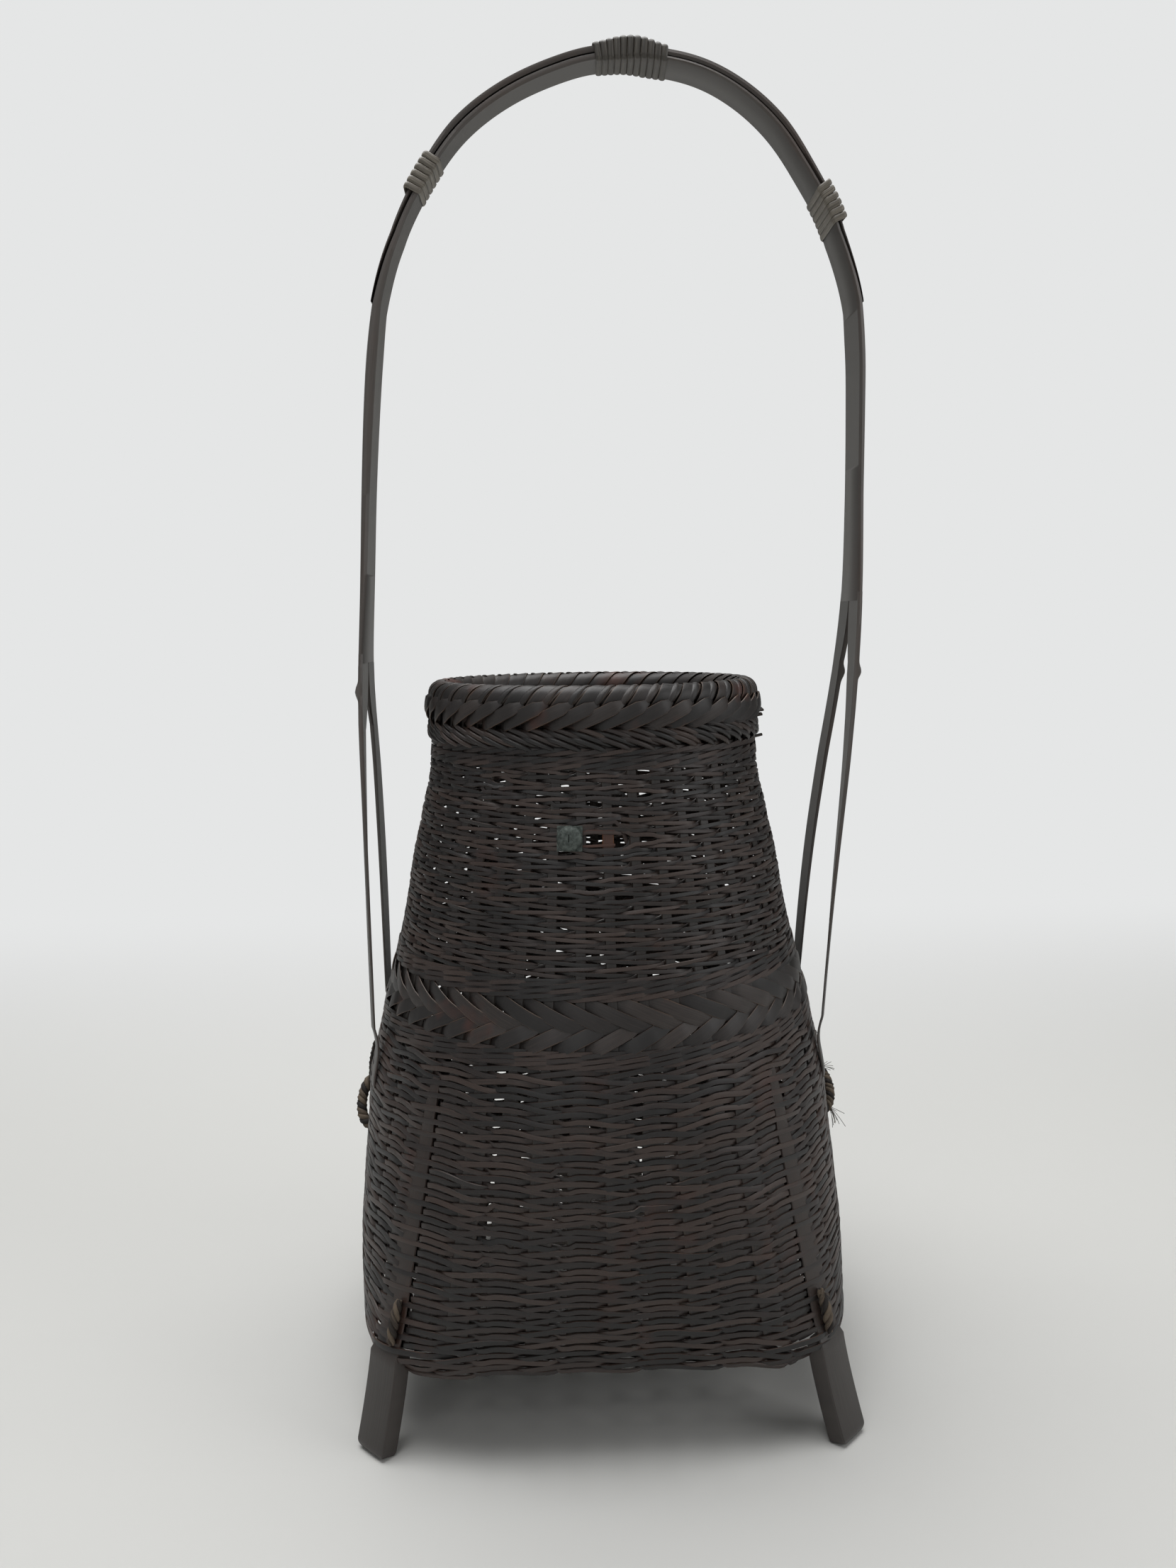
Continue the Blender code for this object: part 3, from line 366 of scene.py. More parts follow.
def slatDistance(column):
    # Columns to the nearest corner slat
    return np.min([np.abs(columnsApart(column, c)) for c in corners["slatColumns"].values()], axis=0)


def cornerSag(column, height):
    # The lowest rows hang a little lower where they turn the corners
    share = np.clip((corners["sagTop"] - height) / (corners["sagTop"] - corners["sagFull"]), 0, 1)
    return -corners["sag"] * share * np.exp(-(slatDistance(column) / corners["sagSpread"]) ** 2)


def spreadApart(column, height, gaps):
    # Moves strips up or down beside the gaps in a weave, so that they stand open
    moved = height.copy()
    for gapColumn, gapHeight, halfLength, halfHeight in gaps:
        away = columnsApart(column, gapColumn)
        above = height - gapHeight
        fade = np.exp(-(away / halfLength) ** 6)
        push = halfHeight * fade * np.exp(-np.abs(above) / (1.6 * halfHeight + 0.8))
        moved = moved + np.where(above > 0, 1, -1) * push
    return moved


def pitchAt(height):
    # Distance between stakes round the body, in millimetres
    step = onBody(np.array([0.0, 1.0]), height)[0]
    return float(np.linalg.norm(step[1] - step[0]))


# Profiles of strips: across from -1 to 1, and out from -1 to 1
flatProfile = [(-1, -0.15), (-0.86, 1), (0.86, 1), (1, -0.15), (0.8, -1), (-0.8, -1)]
domedProfile = [(-1, -0.5), (-0.8, 0.45), (-0.3, 1), (0.3, 1), (0.8, 0.45), (1, -0.5), (0.75, -1),
                (-0.75, -1)]
cordProfile = [(math.cos(a), math.sin(a)) for a in np.linspace(0, 2 * math.pi, 9)[:-1]]
weftProfile = [(-1, -0.4), (-0.84, 0.72), (0, 1), (0.84, 0.72), (1, -0.4), (0.75, -1), (-0.75, -1)]
skinProfile = [(-1, -0.3), (-0.95, 0.55), (-0.6, 0.9), (0, 1), (0.6, 0.9), (0.95, 0.55), (1, -0.3),
               (0.93, -1), (-0.93, -1)]


def stripObject(name, groups, material, nodes, sharp=50):
    # Makes one piece from groups of strips: (centres, outward, halfWidth, thickness,
    # profile, roll), with centres shaped strips x stations x 3. The uv map holds
    # millimetres along a strip and the share of its width
    allPoints, allFaces, allUv, caps = [], [], [], []
    start = 0
    for centres, outward, halfWidth, thickness, profile, roll in groups:
        count, stations = centres.shape[:2]
        along = unit(np.gradient(centres, axis=1))
        out = unit(outward - (outward * along).sum(-1, keepdims=True) * along)
        across = np.cross(along, out)
        if roll is not None:
            c, s = np.cos(roll)[..., None], np.sin(roll)[..., None]
            out, across = out * c + across * s, across * c - out * s
        halfWidth = np.broadcast_to(halfWidth, (count, stations))[..., None]
        thickness = np.broadcast_to(thickness, (count, stations))[..., None]
        ring = np.array(profile, float)
        sides = len(ring)
        points = (centres[:, :, None] + across[:, :, None] * (halfWidth * ring[:, 0])[..., None]
                  + out[:, :, None] * (0.5 * thickness * ring[:, 1])[..., None])
        allPoints.append(points.reshape(-1, 3))
        step = np.linalg.norm(np.diff(centres, axis=1), axis=-1)
        way = np.concatenate([np.zeros((count, 1)), np.cumsum(step, 1)], 1)
        uv = np.zeros((count, stations, sides, 2))
        uv[..., 0] = way[..., None]
        uv[..., 1] = 0.5 + 0.5 * ring[:, 0]
        allUv.append(uv.reshape(-1, 2))
        index = start + np.arange(count * stations * sides).reshape(count, stations, sides)
        one, two = index[:, :-1], index[:, 1:]
        quads = np.stack([one, np.roll(one, -1, 2), np.roll(two, -1, 2), two], -1)
        allFaces.append(quads.reshape(-1, 4))
        caps += [row[::-1] for row in index[:, 0]] + list(index[:, -1])
        start += count * stations * sides
    points = np.concatenate(allPoints) * mm
    # Nothing goes below the surface that the basket stands on
    points[:, 2] = np.maximum(points[:, 2], 0.0)
    quads = np.concatenate(allFaces)
    uv = np.concatenate(allUv)
    loops = np.concatenate([quads.ravel(), np.concatenate(caps)])
    sizes = np.concatenate([np.full(len(quads), 4), [len(c) for c in caps]])
    mesh = bpy.data.meshes.new(name)
    mesh.vertices.add(len(points))
    mesh.vertices.foreach_set("co", points.ravel())
    mesh.loops.add(len(loops))
    mesh.loops.foreach_set("vertex_index", loops)
    mesh.polygons.add(len(sizes))
    mesh.polygons.foreach_set("loop_start", np.concatenate([[0], np.cumsum(sizes)[:-1]]))
    mesh.polygons.foreach_set("loop_total", sizes)
    layer = mesh.uv_layers.new(name="strip")
    layer.data.foreach_set("uv", uv[loops].ravel())
    mesh.update(calc_edges=True)
    mesh.validate()
    mesh.shade_smooth()
    mesh.set_sharp_from_angle(angle=math.radians(sharp))
    mesh.materials.append(material)
    piece = addObject(name, mesh)
    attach(piece, "root")
    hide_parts(*nodes)


def weftObjects(name, spans, thickness, node):
    # The front and the back of a weave as a piece each, from
    # (points, outward, half width, roll) of every span
    for half, rows in spans.items():
        points, out, halfWidth, roll = (np.array(values) for values in zip(*rows))
        group = (points, out, halfWidth, thickness, weftProfile, roll)
        stripObject(name + half.capitalize(), [group], weftMaterial, [node])


def joinedWords(text):
    return "".join(word.capitalize() for word in text.split("_"))


# Lower weave: each span passes over two stakes and its ends lie under the next ones; rising and falling spans
# take turns. The knots of a span are (columns from its first stake, height over the crest)
lowerWeave = {
    "span": (-1.05, 2.05), "ends": (-1.06, 2.06), "frontColumns": (-12, 10), "stakeHeights": (34, 140),
    "topCrest": 136.6, "rowStep": 4.5, "rows": 23, "stripWidth": 2.0, "thickness": 0.85, "overOffset": -0.42,
    "underOffset": -2.05,
    # Places where the wefts stand apart: column, height, half length in columns, half height in millimetres
    "gaps": [
        (-1.5, 103, 0.4, 0.8), (0.5, 102, 0.35, 0.7), (1.5, 99, 0.3, 0.7), (-1.5, 98, 0.4, 0.7),
        (-0.5, 94, 0.45, 0.8), (-0.5, 90.2, 0.35, 0.6), (0.5, 90, 0.3, 0.6), (-3.5, 90, 0.35, 0.8),
        (-3.5, 85, 0.35, 0.7), (-0.5, 86, 0.45, 0.8), (-3.5, 80, 0.35, 0.8), (-2.9, 77, 0.3, 0.6),
        (-1.5, 79, 0.4, 0.7), (2.75, 76, 0.35, 0.8), (3.5, 73, 0.3, 0.6), (0.75, 74, 0.35, 0.6),
        (2.75, 71, 0.35, 0.8), (-3.5, 72, 0.35, 0.8),
    ],
    "widening": {"front": 1.0, "back": 1.1}, "jitter": 0.1, "widthJitter": 0.05, "slopeJitter": 0.06,
    "roll": 4.5, "rollTwist": 0.6,
    "stations": 20, "middle": 0.5, "overJitter": 0.05, "stakeEdge": 0.02, "stakeRoom": 0.03, "dip": 0.05,
    # Behind a slat the wefts turn down sooner and lie deeper; one row binds the feet, the rows below stop
    "slatTop": 127.0, "slatTurns": (-0.31, 1.31), "notch": (1.0, 0.5), "notchBelow": -1.2, "bindingRow": 21,
    "binding": (0.9, 0.7), "behindFoot": 0.55,
    "rising": [
        (-1.05, -3.15), (-0.7, -2.8), (-0.43, -2.33), (-0.03, -1.57), (0.5, -0.57), (1.0, 0.0), (1.29, -0.17),
        (1.71, -0.83), (2.05, -1.95),
    ],
    "falling": [
        (-1.05, -1.85), (-0.7, -2.7), (-0.4, -3.1), (-0.27, -2.95), (-0.16, -2.55), (0.03, -2.33),
        (0.29, -2.5), (0.69, -3.17), (1.22, -3.83), (1.35, -3.9), (1.7, -3.6), (2.05, -3.1),
    ],
    "seam": [
        (-1.05, -0.6), (-0.7, -1.2), (-0.31, -1.45), (0.0, -1.5), (1.0, -3.6), (1.31, -3.75), (1.7, -3.6),
        (2.05, -3.1),
    ],
}


# Stake strips: width by height, from the floor to the rim
stakeStrip = {
    "widths": [(30, 9.0), (45, 8.0), (106, 8.0), (122, 5.6), (137, 3.5), (160, 3.7), (236, 3.5), (250, 3.1)],
    "thickness": 0.85, "offset": -1.24, "bendRadius": 7.0, "heights": ((251.0, 134.0, 26), (130.0, 44.0, 22)),
}


def stakeWidthAt(height):
    return tableAt(height, stakeStrip["widths"])


def stakeShare(height):
    # Half a stake's width, in columns
    return 0.5 * stakeWidthAt(height) / pitchAt(height)


def weaveLower():
    w = lowerWeave
    u = np.linspace(*w["span"], w["stations"])
    spans = {"front": [], "back": []}
    last = stakeCount // 2
    under, edge = w["underOffset"], w["stakeEdge"]
    for row in range(w["rows"]):
        crest = w["topCrest"] - row * w["rowStep"]
        share = stakeShare(np.clip(crest, *w["stakeHeights"]))
        atSlats = row < w["bindingRow"] and crest < w["slatTop"]
        for k in range(-last, last + 1):
            # The count of stakes is odd, so one span at the back joins a falling one to a falling one
            kind = "seam" if k == last else ("rising" if k % 2 == 0 else "falling")
            width = w["stripWidth"] * (1 + chance.normal(0, w["widthJitter"]))
            height = (crest + tableAt(u, w[kind]) - 0.5 * w["stripWidth"] + chance.normal(0, w["jitter"])
                      + (u - w["middle"]) * chance.normal(0, w["slopeJitter"]))
            over = w["overOffset"] + chance.normal(0, w["overJitter"])
            comes, goes = -1 + share - w["stakeRoom"], 2 - share + w["stakeRoom"]
            if atSlats and (k - 1) % stakeCount in corners["gapAfterStake"]:
                comes = w["slatTurns"][0]
            if atSlats and (k + 1) % stakeCount in corners["gapAfterStake"]:
                goes = w["slatTurns"][1]
            turns = [w["ends"][0], comes, -share + edge, 0.0, 1.0, 1 + share - edge, goes, w["ends"][1]]
            dipped = over - w["dip"]
            offset = smoothThrough(u, turns, [under, under, dipped, over, over, dipped, under, under])
            height = spreadApart(k + u, height + cornerSag(k + u, height), w["gaps"])
            away = slatDistance(k + u)
            if atSlats:
                depth, reach = w["notch"]
                offset = offset - depth * np.exp(-(away / reach) ** 6) * (offset < w["notchBelow"])
            if row == w["bindingRow"]:
                rise, reach = w["binding"]
                offset = offset + rise * np.exp(-(away / reach) ** 2)
            if row > w["bindingRow"]:
                offset = offset - (offset - under) * np.exp(-(away / w["behindFoot"]) ** 4)
            points, out = onBody(pushedColumn(k + u, height), height, offset)
            half = "front" if w["frontColumns"][0] <= k <= w["frontColumns"][1] else "back"
            halfWidth = np.full(len(u), 0.5 * width) * w["widening"][half]
            turned = chance.normal() + (u - w["middle"]) * chance.normal(0, w["rollTwist"])
            roll = math.radians(w["roll"]) * turned
            spans[half].append((points, out, halfWidth, roll))
    weftObjects("lowerWeave", spans, w["thickness"], "lower_wall")
    print("lower weave:", sum(map(len, spans.values())), "spans")


# Upper lattice: rising and falling strips cross behind every third stake and leave
# it bare there. A bare place stands at bareHeight on stake 0, comes again every
# period, and moves down by columnDrop from stake to stake
upperWeave = {
    "span": (-3.05, 0.05), "ends": (-3.06, 0.06), "middle": -1.5, "backColumns": (13, 34), "overJitter": 0.04,
    "slopeJitter": 0.05, "rollTwist": 0.6,
    "bareHeight": 199.0, "period": 7.44, "columnDrop": 3.638, "stripWidth": 1.48, "thickness": 0.75,
    "overOffset": -0.45,
    "bottom": 161.2, "top": 236.5, "stations": 22, "jitter": 0.1, "roll": 9.0,
    # Places where the strips stand apart: column, height, half length in columns, half height in millimetres
    "gaps": [
        (-0.1, 210.2, 0.95, 2.5), (0.52, 215.0, 0.4, 0.6), (1.42, 210.6, 0.4, 0.8), (-0.5, 197.9, 0.4, 0.7),
        (-0.5, 194.4, 0.45, 0.7), (0.55, 202.6, 0.4, 0.5), (-1.6, 205.7, 0.4, 0.5), (-1.5, 191.0, 0.4, 0.6),
        (0.5, 191.2, 0.4, 0.6), (-0.5, 222.3, 0.4, 0.7), (0.5, 225.2, 0.4, 0.7), (1.4, 224.6, 0.4, 0.8),
        (1.4, 232.2, 0.4, 0.8), (-1.5, 232.8, 0.4, 0.6), (0.5, 233.3, 0.4, 0.6), (-4.4, 229.5, 0.4, 1.0),
        (-5.2, 226.0, 0.4, 0.7), (-2.0, 222.4, 0.3, 0.5), (-3.4, 194.2, 0.35, 0.5),
    ],
    "rising": {
        "under": -1.98,
        "knots": [(-3.05, -3.4), (-2.6, -1.95), (-2, -1.42), (-1, -1.0), (-0.4, -0.72), (0.05, 0.71)],
    },
    "falling": {
        "under": -2.5,
        "knots": [(-3.05, 2.66), (-2.6, 1.65), (-2, 1.16), (-1, 0.49), (-0.4, 0.07), (0.05, -0.93)],
    },
}


def weaveUpper():
    w = upperWeave
    u = np.linspace(*w["span"], w["stations"])
    spans = {"front": [], "back": []}
    for kind in ("rising", "falling"):
        level = tableAt(u, w[kind]["knots"])
        under = w[kind]["under"]
        for column in range(stakeCount):
            half = "back" if w["backColumns"][0] <= column <= w["backColumns"][1] else "front"
            bare = w["bareHeight"] - w["columnDrop"] * column
            lowest = math.floor((w["bottom"] - bare) / w["period"]) - 1
            highest = math.ceil((w["top"] - bare) / w["period"]) + 1
            for base in bare + w["period"] * np.arange(lowest, highest + 1):
                if base + level.min() <= w["bottom"] or base + level.max() >= w["top"]:
                    continue
                share = stakeShare(base)
                over = w["overOffset"] + chance.normal(0, w["overJitter"])
                turns = [w["ends"][0], -3 + share, -2 - share, -1, -1 + share, -share, w["ends"][1]]
                offset = smoothThrough(u, turns, [under, under, over, over, over, under, under])
                height = base + level + chance.normal(0, w["jitter"])
                height = height + (u - w["middle"]) * chance.normal(0, w["slopeJitter"])
                points, out = onBody(column + u, spreadApart(column + u, height, w["gaps"]), offset)
                turned = chance.normal() + (u - w["middle"]) * chance.normal(0, w["rollTwist"])
                roll = math.radians(w["roll"]) * turned
                spans[half].append((points, out, np.full(len(u), 0.5 * w["stripWidth"]), roll))
    weftObjects("upperLattice", spans, w["thickness"], "upper_wall")
    print("upper lattice:", sum(map(len, spans.values())), "spans")


# Right of the stud a stake and two wefts are scraped down to the bare bamboo
scraped = {
    "column": 0.0, "heights": (214.5, 205.5), "width": 3.9, "lift": 0.25,
    "wefts": (213.7, 208.7), "weftWidth": 1.0, "weftThickness": 0.6, "weftColumns": (-1.2, 0.25),
    "weftRise": 0.3, "weftOffset": -0.45,
}


def makeScraped():
    s = scraped
    points, out = onBody(s["column"], np.linspace(*s["heights"], 9), stakeStrip["offset"] + s["lift"])
    group = (points[None], out[None], 0.5 * s["width"], stakeStrip["thickness"], flatProfile, None)
    stripObject("stakeScraped", [group], scrapedMaterial, ["stake_y_06"])
    groups = []
    columns = np.linspace(*s["weftColumns"], 12)
    for level in s["wefts"]:
        points, out = onBody(columns, level + s["weftRise"] * columns, s["weftOffset"])
        groups.append((points[None], out[None], 0.5 * s["weftWidth"], s["weftThickness"], weftProfile, None))
    stripObject("weftsScraped", groups, rubbedMaterial, ["upper_wall"])
    print("scraped strips:", 1 + len(s["wefts"]))


# Floor: stakes cross it both ways, over and under each other, with narrow fillers between them
floor = {
    "level": 36.2, "pitch": 13.4, "wave": 0.62, "stations": 46, "oddEnd": -20.0,
    "fillerWave": 0.5, "fillerHalfWidth": 1.2, "fillerThickness": 0.6, "fillerStations": 44,
    "halfLength": 84.0, "halfWidth": 92.0, "squareness": 3.5,
}
down = np.array([0.0, 0.0, -1.0])


def stakeSide(column, axis):
    # One side of a stake strip: down the wall, then round the bend to the floor; axis is the way it crosses
    heights = np.concatenate([np.linspace(*stations) for stations in stakeStrip["heights"]])
    points, out = onBody(pushedColumn(column, heights), heights, stakeStrip["offset"])
    last, outward = points[-1], out[-1]
    points, out = list(points), list(out)
    for turn in np.linspace(0.25, 1.0, 4) * math.pi / 2:
        place = last.copy()
        place[axis] -= np.sign(last[axis]) * stakeStrip["bendRadius"] * (1 - math.cos(turn))
        place[2] -= (last[2] - floor["level"]) * math.sin(turn)
        points.append(place)
        out.append(unit(outward * math.cos(turn) + down * math.sin(turn)))
    return points, out


def weaveStakes():
    # Node, column of one end, column of the other end, axis of its run, place in its row
    strips = [(f"stake_y_{i + 1:02d}", i - 5, 27 - i, 1, i) for i in range(11)]
    strips += [(f"stake_x_{i + 1:02d}", 39 - i, 6 + i, 0, i) for i in range(11)]
    strips.append(("stake_odd", 28, None, 0, 11))
    for node, near, far, axis, order in strips:
        points, out = stakeSide(near, axis)
        if far is None:
            farPoints, farOut = [np.array([floor["oddEnd"], points[-1][1], floor["level"]])], [down]
        else:
            farPoints, farOut = (side[::-1] for side in stakeSide(far, axis))
        start, end = points[-1], farPoints[0]
        across = []
        for share in np.arange(1, floor["stations"]) / floor["stations"]:
            place = start + share * (end - start)
            fade = min(1.0, 5 * share, 5 * (1 - share))
            wave = math.cos(math.pi * (place[axis] / floor["pitch"] + order)) * fade
            place[2] = floor["level"] + (1 if axis else -1) * floor["wave"] * wave
            across.append(place)
        path = np.array(points + across + farPoints)
        outward = np.array(out + [down] * len(across) + farOut)
        group = (path[None], outward[None], 0.5 * stakeWidthAt(path[:, 2])[None], stakeStrip["thickness"],
                 flatProfile, None)
        stripObject("stakeStrip" + node[5:].replace("_", "").upper(), [group], stakeMaterial, [node])
    print("stakes:", len(strips))


def weaveFloor():
    f = floor
    groups = []
    share = np.linspace(-1, 1, f["fillerStations"])
    for axis in (0, 1):
        centres = []
        for step in np.arange(-5.0, 5.0):
            across = (step + 0.5) * f["pitch"]
            power = f["squareness"]
            reach = f["halfLength"] * (1 - abs(across / f["halfWidth"]) ** power) ** (1 / power)
            place = np.zeros((len(share), 3))
            place[:, axis] = share * reach
            place[:, 1 - axis] = across
            wave = np.cos(math.pi * (share * reach / f["pitch"] + 0.5 + step))
            place[:, 2] = f["level"] + (1 if axis else -1) * f["fillerWave"] * wave
            centres.append(place)
        centres = np.array(centres)
        outward = np.broadcast_to(down, centres.shape)
        groups.append((centres, outward, f["fillerHalfWidth"], f["fillerThickness"], flatProfile, None))
    stripObject("floorFillers", groups, stakeMaterial, ["lower_wall"])
    print("floor fillers:", 2 * len(centres))


def spanGroup(starts, base, knots, width, thickness, profile, roll=0.0, stations=14, jitter=0.1, ends=1.0):
    # One strip from each column in starts: knots give, in columns
    # from its first stake, its rise and its offset
    u = np.linspace(knots["rise"][0][0], knots["rise"][-1][0], stations)
    column = np.add.outer(np.asarray(starts, float), u)
    height = base + tableAt(u, knots["rise"]) + chance.normal(0, jitter, (len(starts), 1))
    lift = tableAt(u, knots["offset"]) + chance.normal(0, 0.4 * jitter, (len(starts), 1))
    points, out = onBody(pushedColumn(column, height), height, lift)
    # The ends narrow to a share of the width, over 18 % of the length
    near = np.minimum(u - u[0], u[-1] - u) / (0.18 * (u[-1] - u[0]))
    taper = ends + (1 - ends) * np.clip(near, 0, 1)
    halfWidth = 0.5 * width * (1 + chance.normal(0, 0.04, (len(starts), 1))) * taper
    return points, out, halfWidth, thickness, profile, np.full(column.shape, roll)


# Twined rows: pairs of thin strips round every stake, above and below the braids
twine = {
    "stripWidth": 1.6, "thickness": 0.5, "belowWaist": (140.6, 138.8, 137.1),
    "aboveWaist": (162.9, 161.0, 159.0), "belowCollar": (236.8, 234.9),
    "collar": (239.6,),
    "rise": [(-1, -0.9), (-0.15, -0.7), (0.4, -0.1), (0.96, 0.5), (1.4, 0.55), (1.8, 0.3)],
    "offset": [
        (-1, -1.9), (-0.7, -1.3), (-0.3, -0.5), (0, -0.2), (0.5, 0.1), (0.9, -0.05), (1.3, -0.6), (1.8, -1.9),
    ],
}


def twinedRows(levels):
    t = twine
    stakes = range(stakeCount)
    return [spanGroup(stakes, level, t, t["stripWidth"], t["thickness"], flatProfile) for level in levels]


# Waist braid: flat skins that rise from below and fall from above, each laid over the next one
waistBraid = {
    "width": 5.1, "thickness": 0.55, "tilt": 5.0,
    "lower": {
        "rise": [(-1.15, 0), (-0.7, 1.3), (0, 5.0), (0.48, 7.5), (0.85, 9.2)],
        "offset": [
            (-1.15, -1.9), (-0.8, -1.6), (-0.55, -0.3), (-0.2, 0.4), (0.1, 0.4), (0.35, -0.1), (0.6, -0.45),
            (0.85, -0.9),
        ],
    },
    "upper": {
        "rise": [(-1.1, 0), (-0.52, -1.8), (0, -4.4), (0.86, -8.6), (1.1, -9.6), (1.45, -10.8)],
        "offset": [
            (-1.1, -1.9), (-0.8, -1.4), (-0.5, -0.35), (-0.1, 0.15), (0.3, 0.35), (0.55, 0.3), (0.8, -0.25),
            (1.1, -0.5), (1.45, -1.7),
        ],
    },
    "lowerStart": 140.6, "upperStart": 157.8,
}


def braidWaist():
    b = waistBraid
    groups = []
    for row, start, tilt in (("lower", b["lowerStart"], -b["tilt"]), ("upper", b["upperStart"], b["tilt"])):
        groups.append(spanGroup(range(stakeCount), start, b[row], b["width"], b["thickness"], skinProfile,
                                math.radians(tilt), 18, 0.12, 0.55))
    stripObject("waistBraid", groups, braidMaterial, ["waist_band"])
    stripObject("waistTwine", twinedRows(twine["aboveWaist"] + twine["belowWaist"]), weftMaterial,
                ["waist_band"])
    print("waist braid:", 2 * stakeCount, "skins")


# Collar: bundles of three strips that fall to the right, one bundle from each stake, laid over a flat
# inner strip. Broken ends stick out at the right: column, height, how far they reach, width
collar = {
    "strips": 3, "stripWidth": 1.75, "stripStep": 1.62, "stripShift": 0.14, "thickness": 0.9, "start": 247.2,
    "tilt": 9.0,
    "rise": [(-0.75, 1.0), (-0.3, 0.7), (0.2, -0.4), (0.8, -2.3), (1.2, -3.6), (1.5, -4.6)],
    "offset": [(-0.75, -1.7), (-0.45, -0.5), (-0.1, 0.9), (0.4, 1.7), (0.8, 1.4), (1.15, 0.2), (1.5, -1.7)],
    "brokenEnds": [(10.3, 248.8, 4.2, 2.6), (9.9, 247.2, 3.6, 1.8), (10.4, 239.0, 3.2, 1.1)],
    "inner": {"height": 244.3, "width": 8.0, "thickness": 0.6, "offset": -2.3},
}


def braidCollar():
    c = collar
    groups = twinedRows(twine["collar"])
    for strip in range(c["strips"]):
        level = c["start"] - strip * c["stripStep"]
        groups.append(spanGroup(np.arange(stakeCount) - c["stripShift"] * strip, level, c, c["stripWidth"],
                                c["thickness"], domedProfile, math.radians(c["tilt"]), 16, 0.14, 0.6))
    for column, level, reach, width in c["brokenEnds"]:
        places = np.linspace(-1.0, reach, 6)
        points, out = onBody(column + 0.03 * places, level + 0.12 * places, places)
        groups.append((points[None], np.broadcast_to([0.0, -0.3, 1.0], (1, 6, 3)), 0.5 * width, 0.8,
                       flatProfile, None))
    inner = c["inner"]
    points, out = onBody(np.linspace(0, stakeCount + 0.6, 274), inner["height"], inner["offset"])
    groups.append((points[None], out[None], 0.5 * inner["width"], inner["thickness"], flatProfile, None))
    stripObject("collarBraid", groups, weftMaterial, ["collar_braid"])
    stripObject("collarTwine", twinedRows(twine["belowCollar"]), weftMaterial, ["upper_wall"])
    print("collar:", c["strips"] * stakeCount, "strips")


# Rim: each stake's end turns over the ring as a broad domed skin, with a
# narrow one beside it and a long one along the foot
rim = {
    "radius": 57.6, "halfDepth": 4.2, "height": 256.7, "halfHeight": 4.6, "coreDepth": 3.3, "coreHeight": 3.7,
    "skin": {"turns": (-62.0, 238.0), "start": -0.1, "lean": 300 / 130, "width": 6.4, "thickness": 0.8,
             "lift": 0.0, "roll": 6.0, "pinch": 0.12},
    "ribbon": {"turns": (-35.0, 108.0), "start": 0.42, "lean": 0.95, "width": 2.4, "thickness": 0.6,
               "lift": 0.45, "roll": -10.0, "pinch": 0.35},
    "footWidth": 4.7, "footThickness": 0.75, "footStart": 249.5, "footTilt": -9.0,
    "foot": {"rise": [(-0.6, -1.9), (-0.1, -0.5), (0.45, 1.6), (1.0, 3.9), (1.4, 5.4), (1.7, 6.6)],
             "offset": [(-0.6, -1.6), (-0.15, 0.9), (0.4, 2.3), (0.9, 2.8), (1.3, 2.6), (1.7, 0.9)]},
}


def rimPoints(column, turn, lift):
    # Points and outward ways on the rolled rim: turn 0 faces out, 90 degrees is the top
    around = np.radians(-90 + 360 / stakeCount * (np.asarray(column) + body["frontShare"]))
    c, s = np.cos(turn), np.sin(turn)
    reach = rim["radius"] + (rim["halfDepth"] + lift) * c
    points = np.stack([reach * np.cos(around), reach * np.sin(around),
                       rim["height"] + (rim["halfHeight"] + lift) * s], -1)
    out = np.stack([c / rim["halfDepth"] * np.cos(around), c / rim["halfDepth"] * np.sin(around),
                    s / rim["halfHeight"]], -1)
    return points, unit(out)


def rimSkins(kind):
    # A skin over the rim from each stake: it turns from the outside
    # over the top, and leans by columns as it goes
    share = np.linspace(0, 1, 22)
    first, last = kind["turns"]
    turn = np.radians(first + share * (last - first)) * np.ones((stakeCount, 1))
    column = np.arange(stakeCount)[:, None] + kind["start"] + kind["lean"] * share
    column = column + chance.normal(0, 0.02, (stakeCount, 1))
    points, out = rimPoints(column, turn, kind["lift"])
    jitter = 1 + chance.normal(0, 0.04, (stakeCount, 1))
    halfWidth = 0.5 * kind["width"] * jitter * (1 - kind["pinch"] * (2 * share - 1) ** 2)
    roll = np.full(column.shape, math.radians(kind["roll"]))
    return points, out, halfWidth, kind["thickness"], domedProfile, roll


def braidRim():
    r = rim
    groups = [rimSkins(r["skin"]), rimSkins(r["ribbon"])]
    groups.append(spanGroup(range(stakeCount), r["footStart"], r["foot"], r["footWidth"], r["footThickness"],
                            skinProfile, math.radians(r["footTilt"]), 18, 0.14, 0.42))
    # The ring that the skins are wound round
    around = np.linspace(0, 2 * math.pi + 0.05, 184)
    out = np.stack([np.cos(around), np.sin(around), 0 * around], 1)
    centre = out * r["radius"] + np.array([0, 0, r["height"]])
    groups.append((centre[None], out[None], r["coreHeight"], 2 * r["coreDepth"], cordProfile, None))
    stripObject("rimBraid", groups, braidMaterial, ["rim_braid"])
    print("rim:", 3 * stakeCount, "skins")


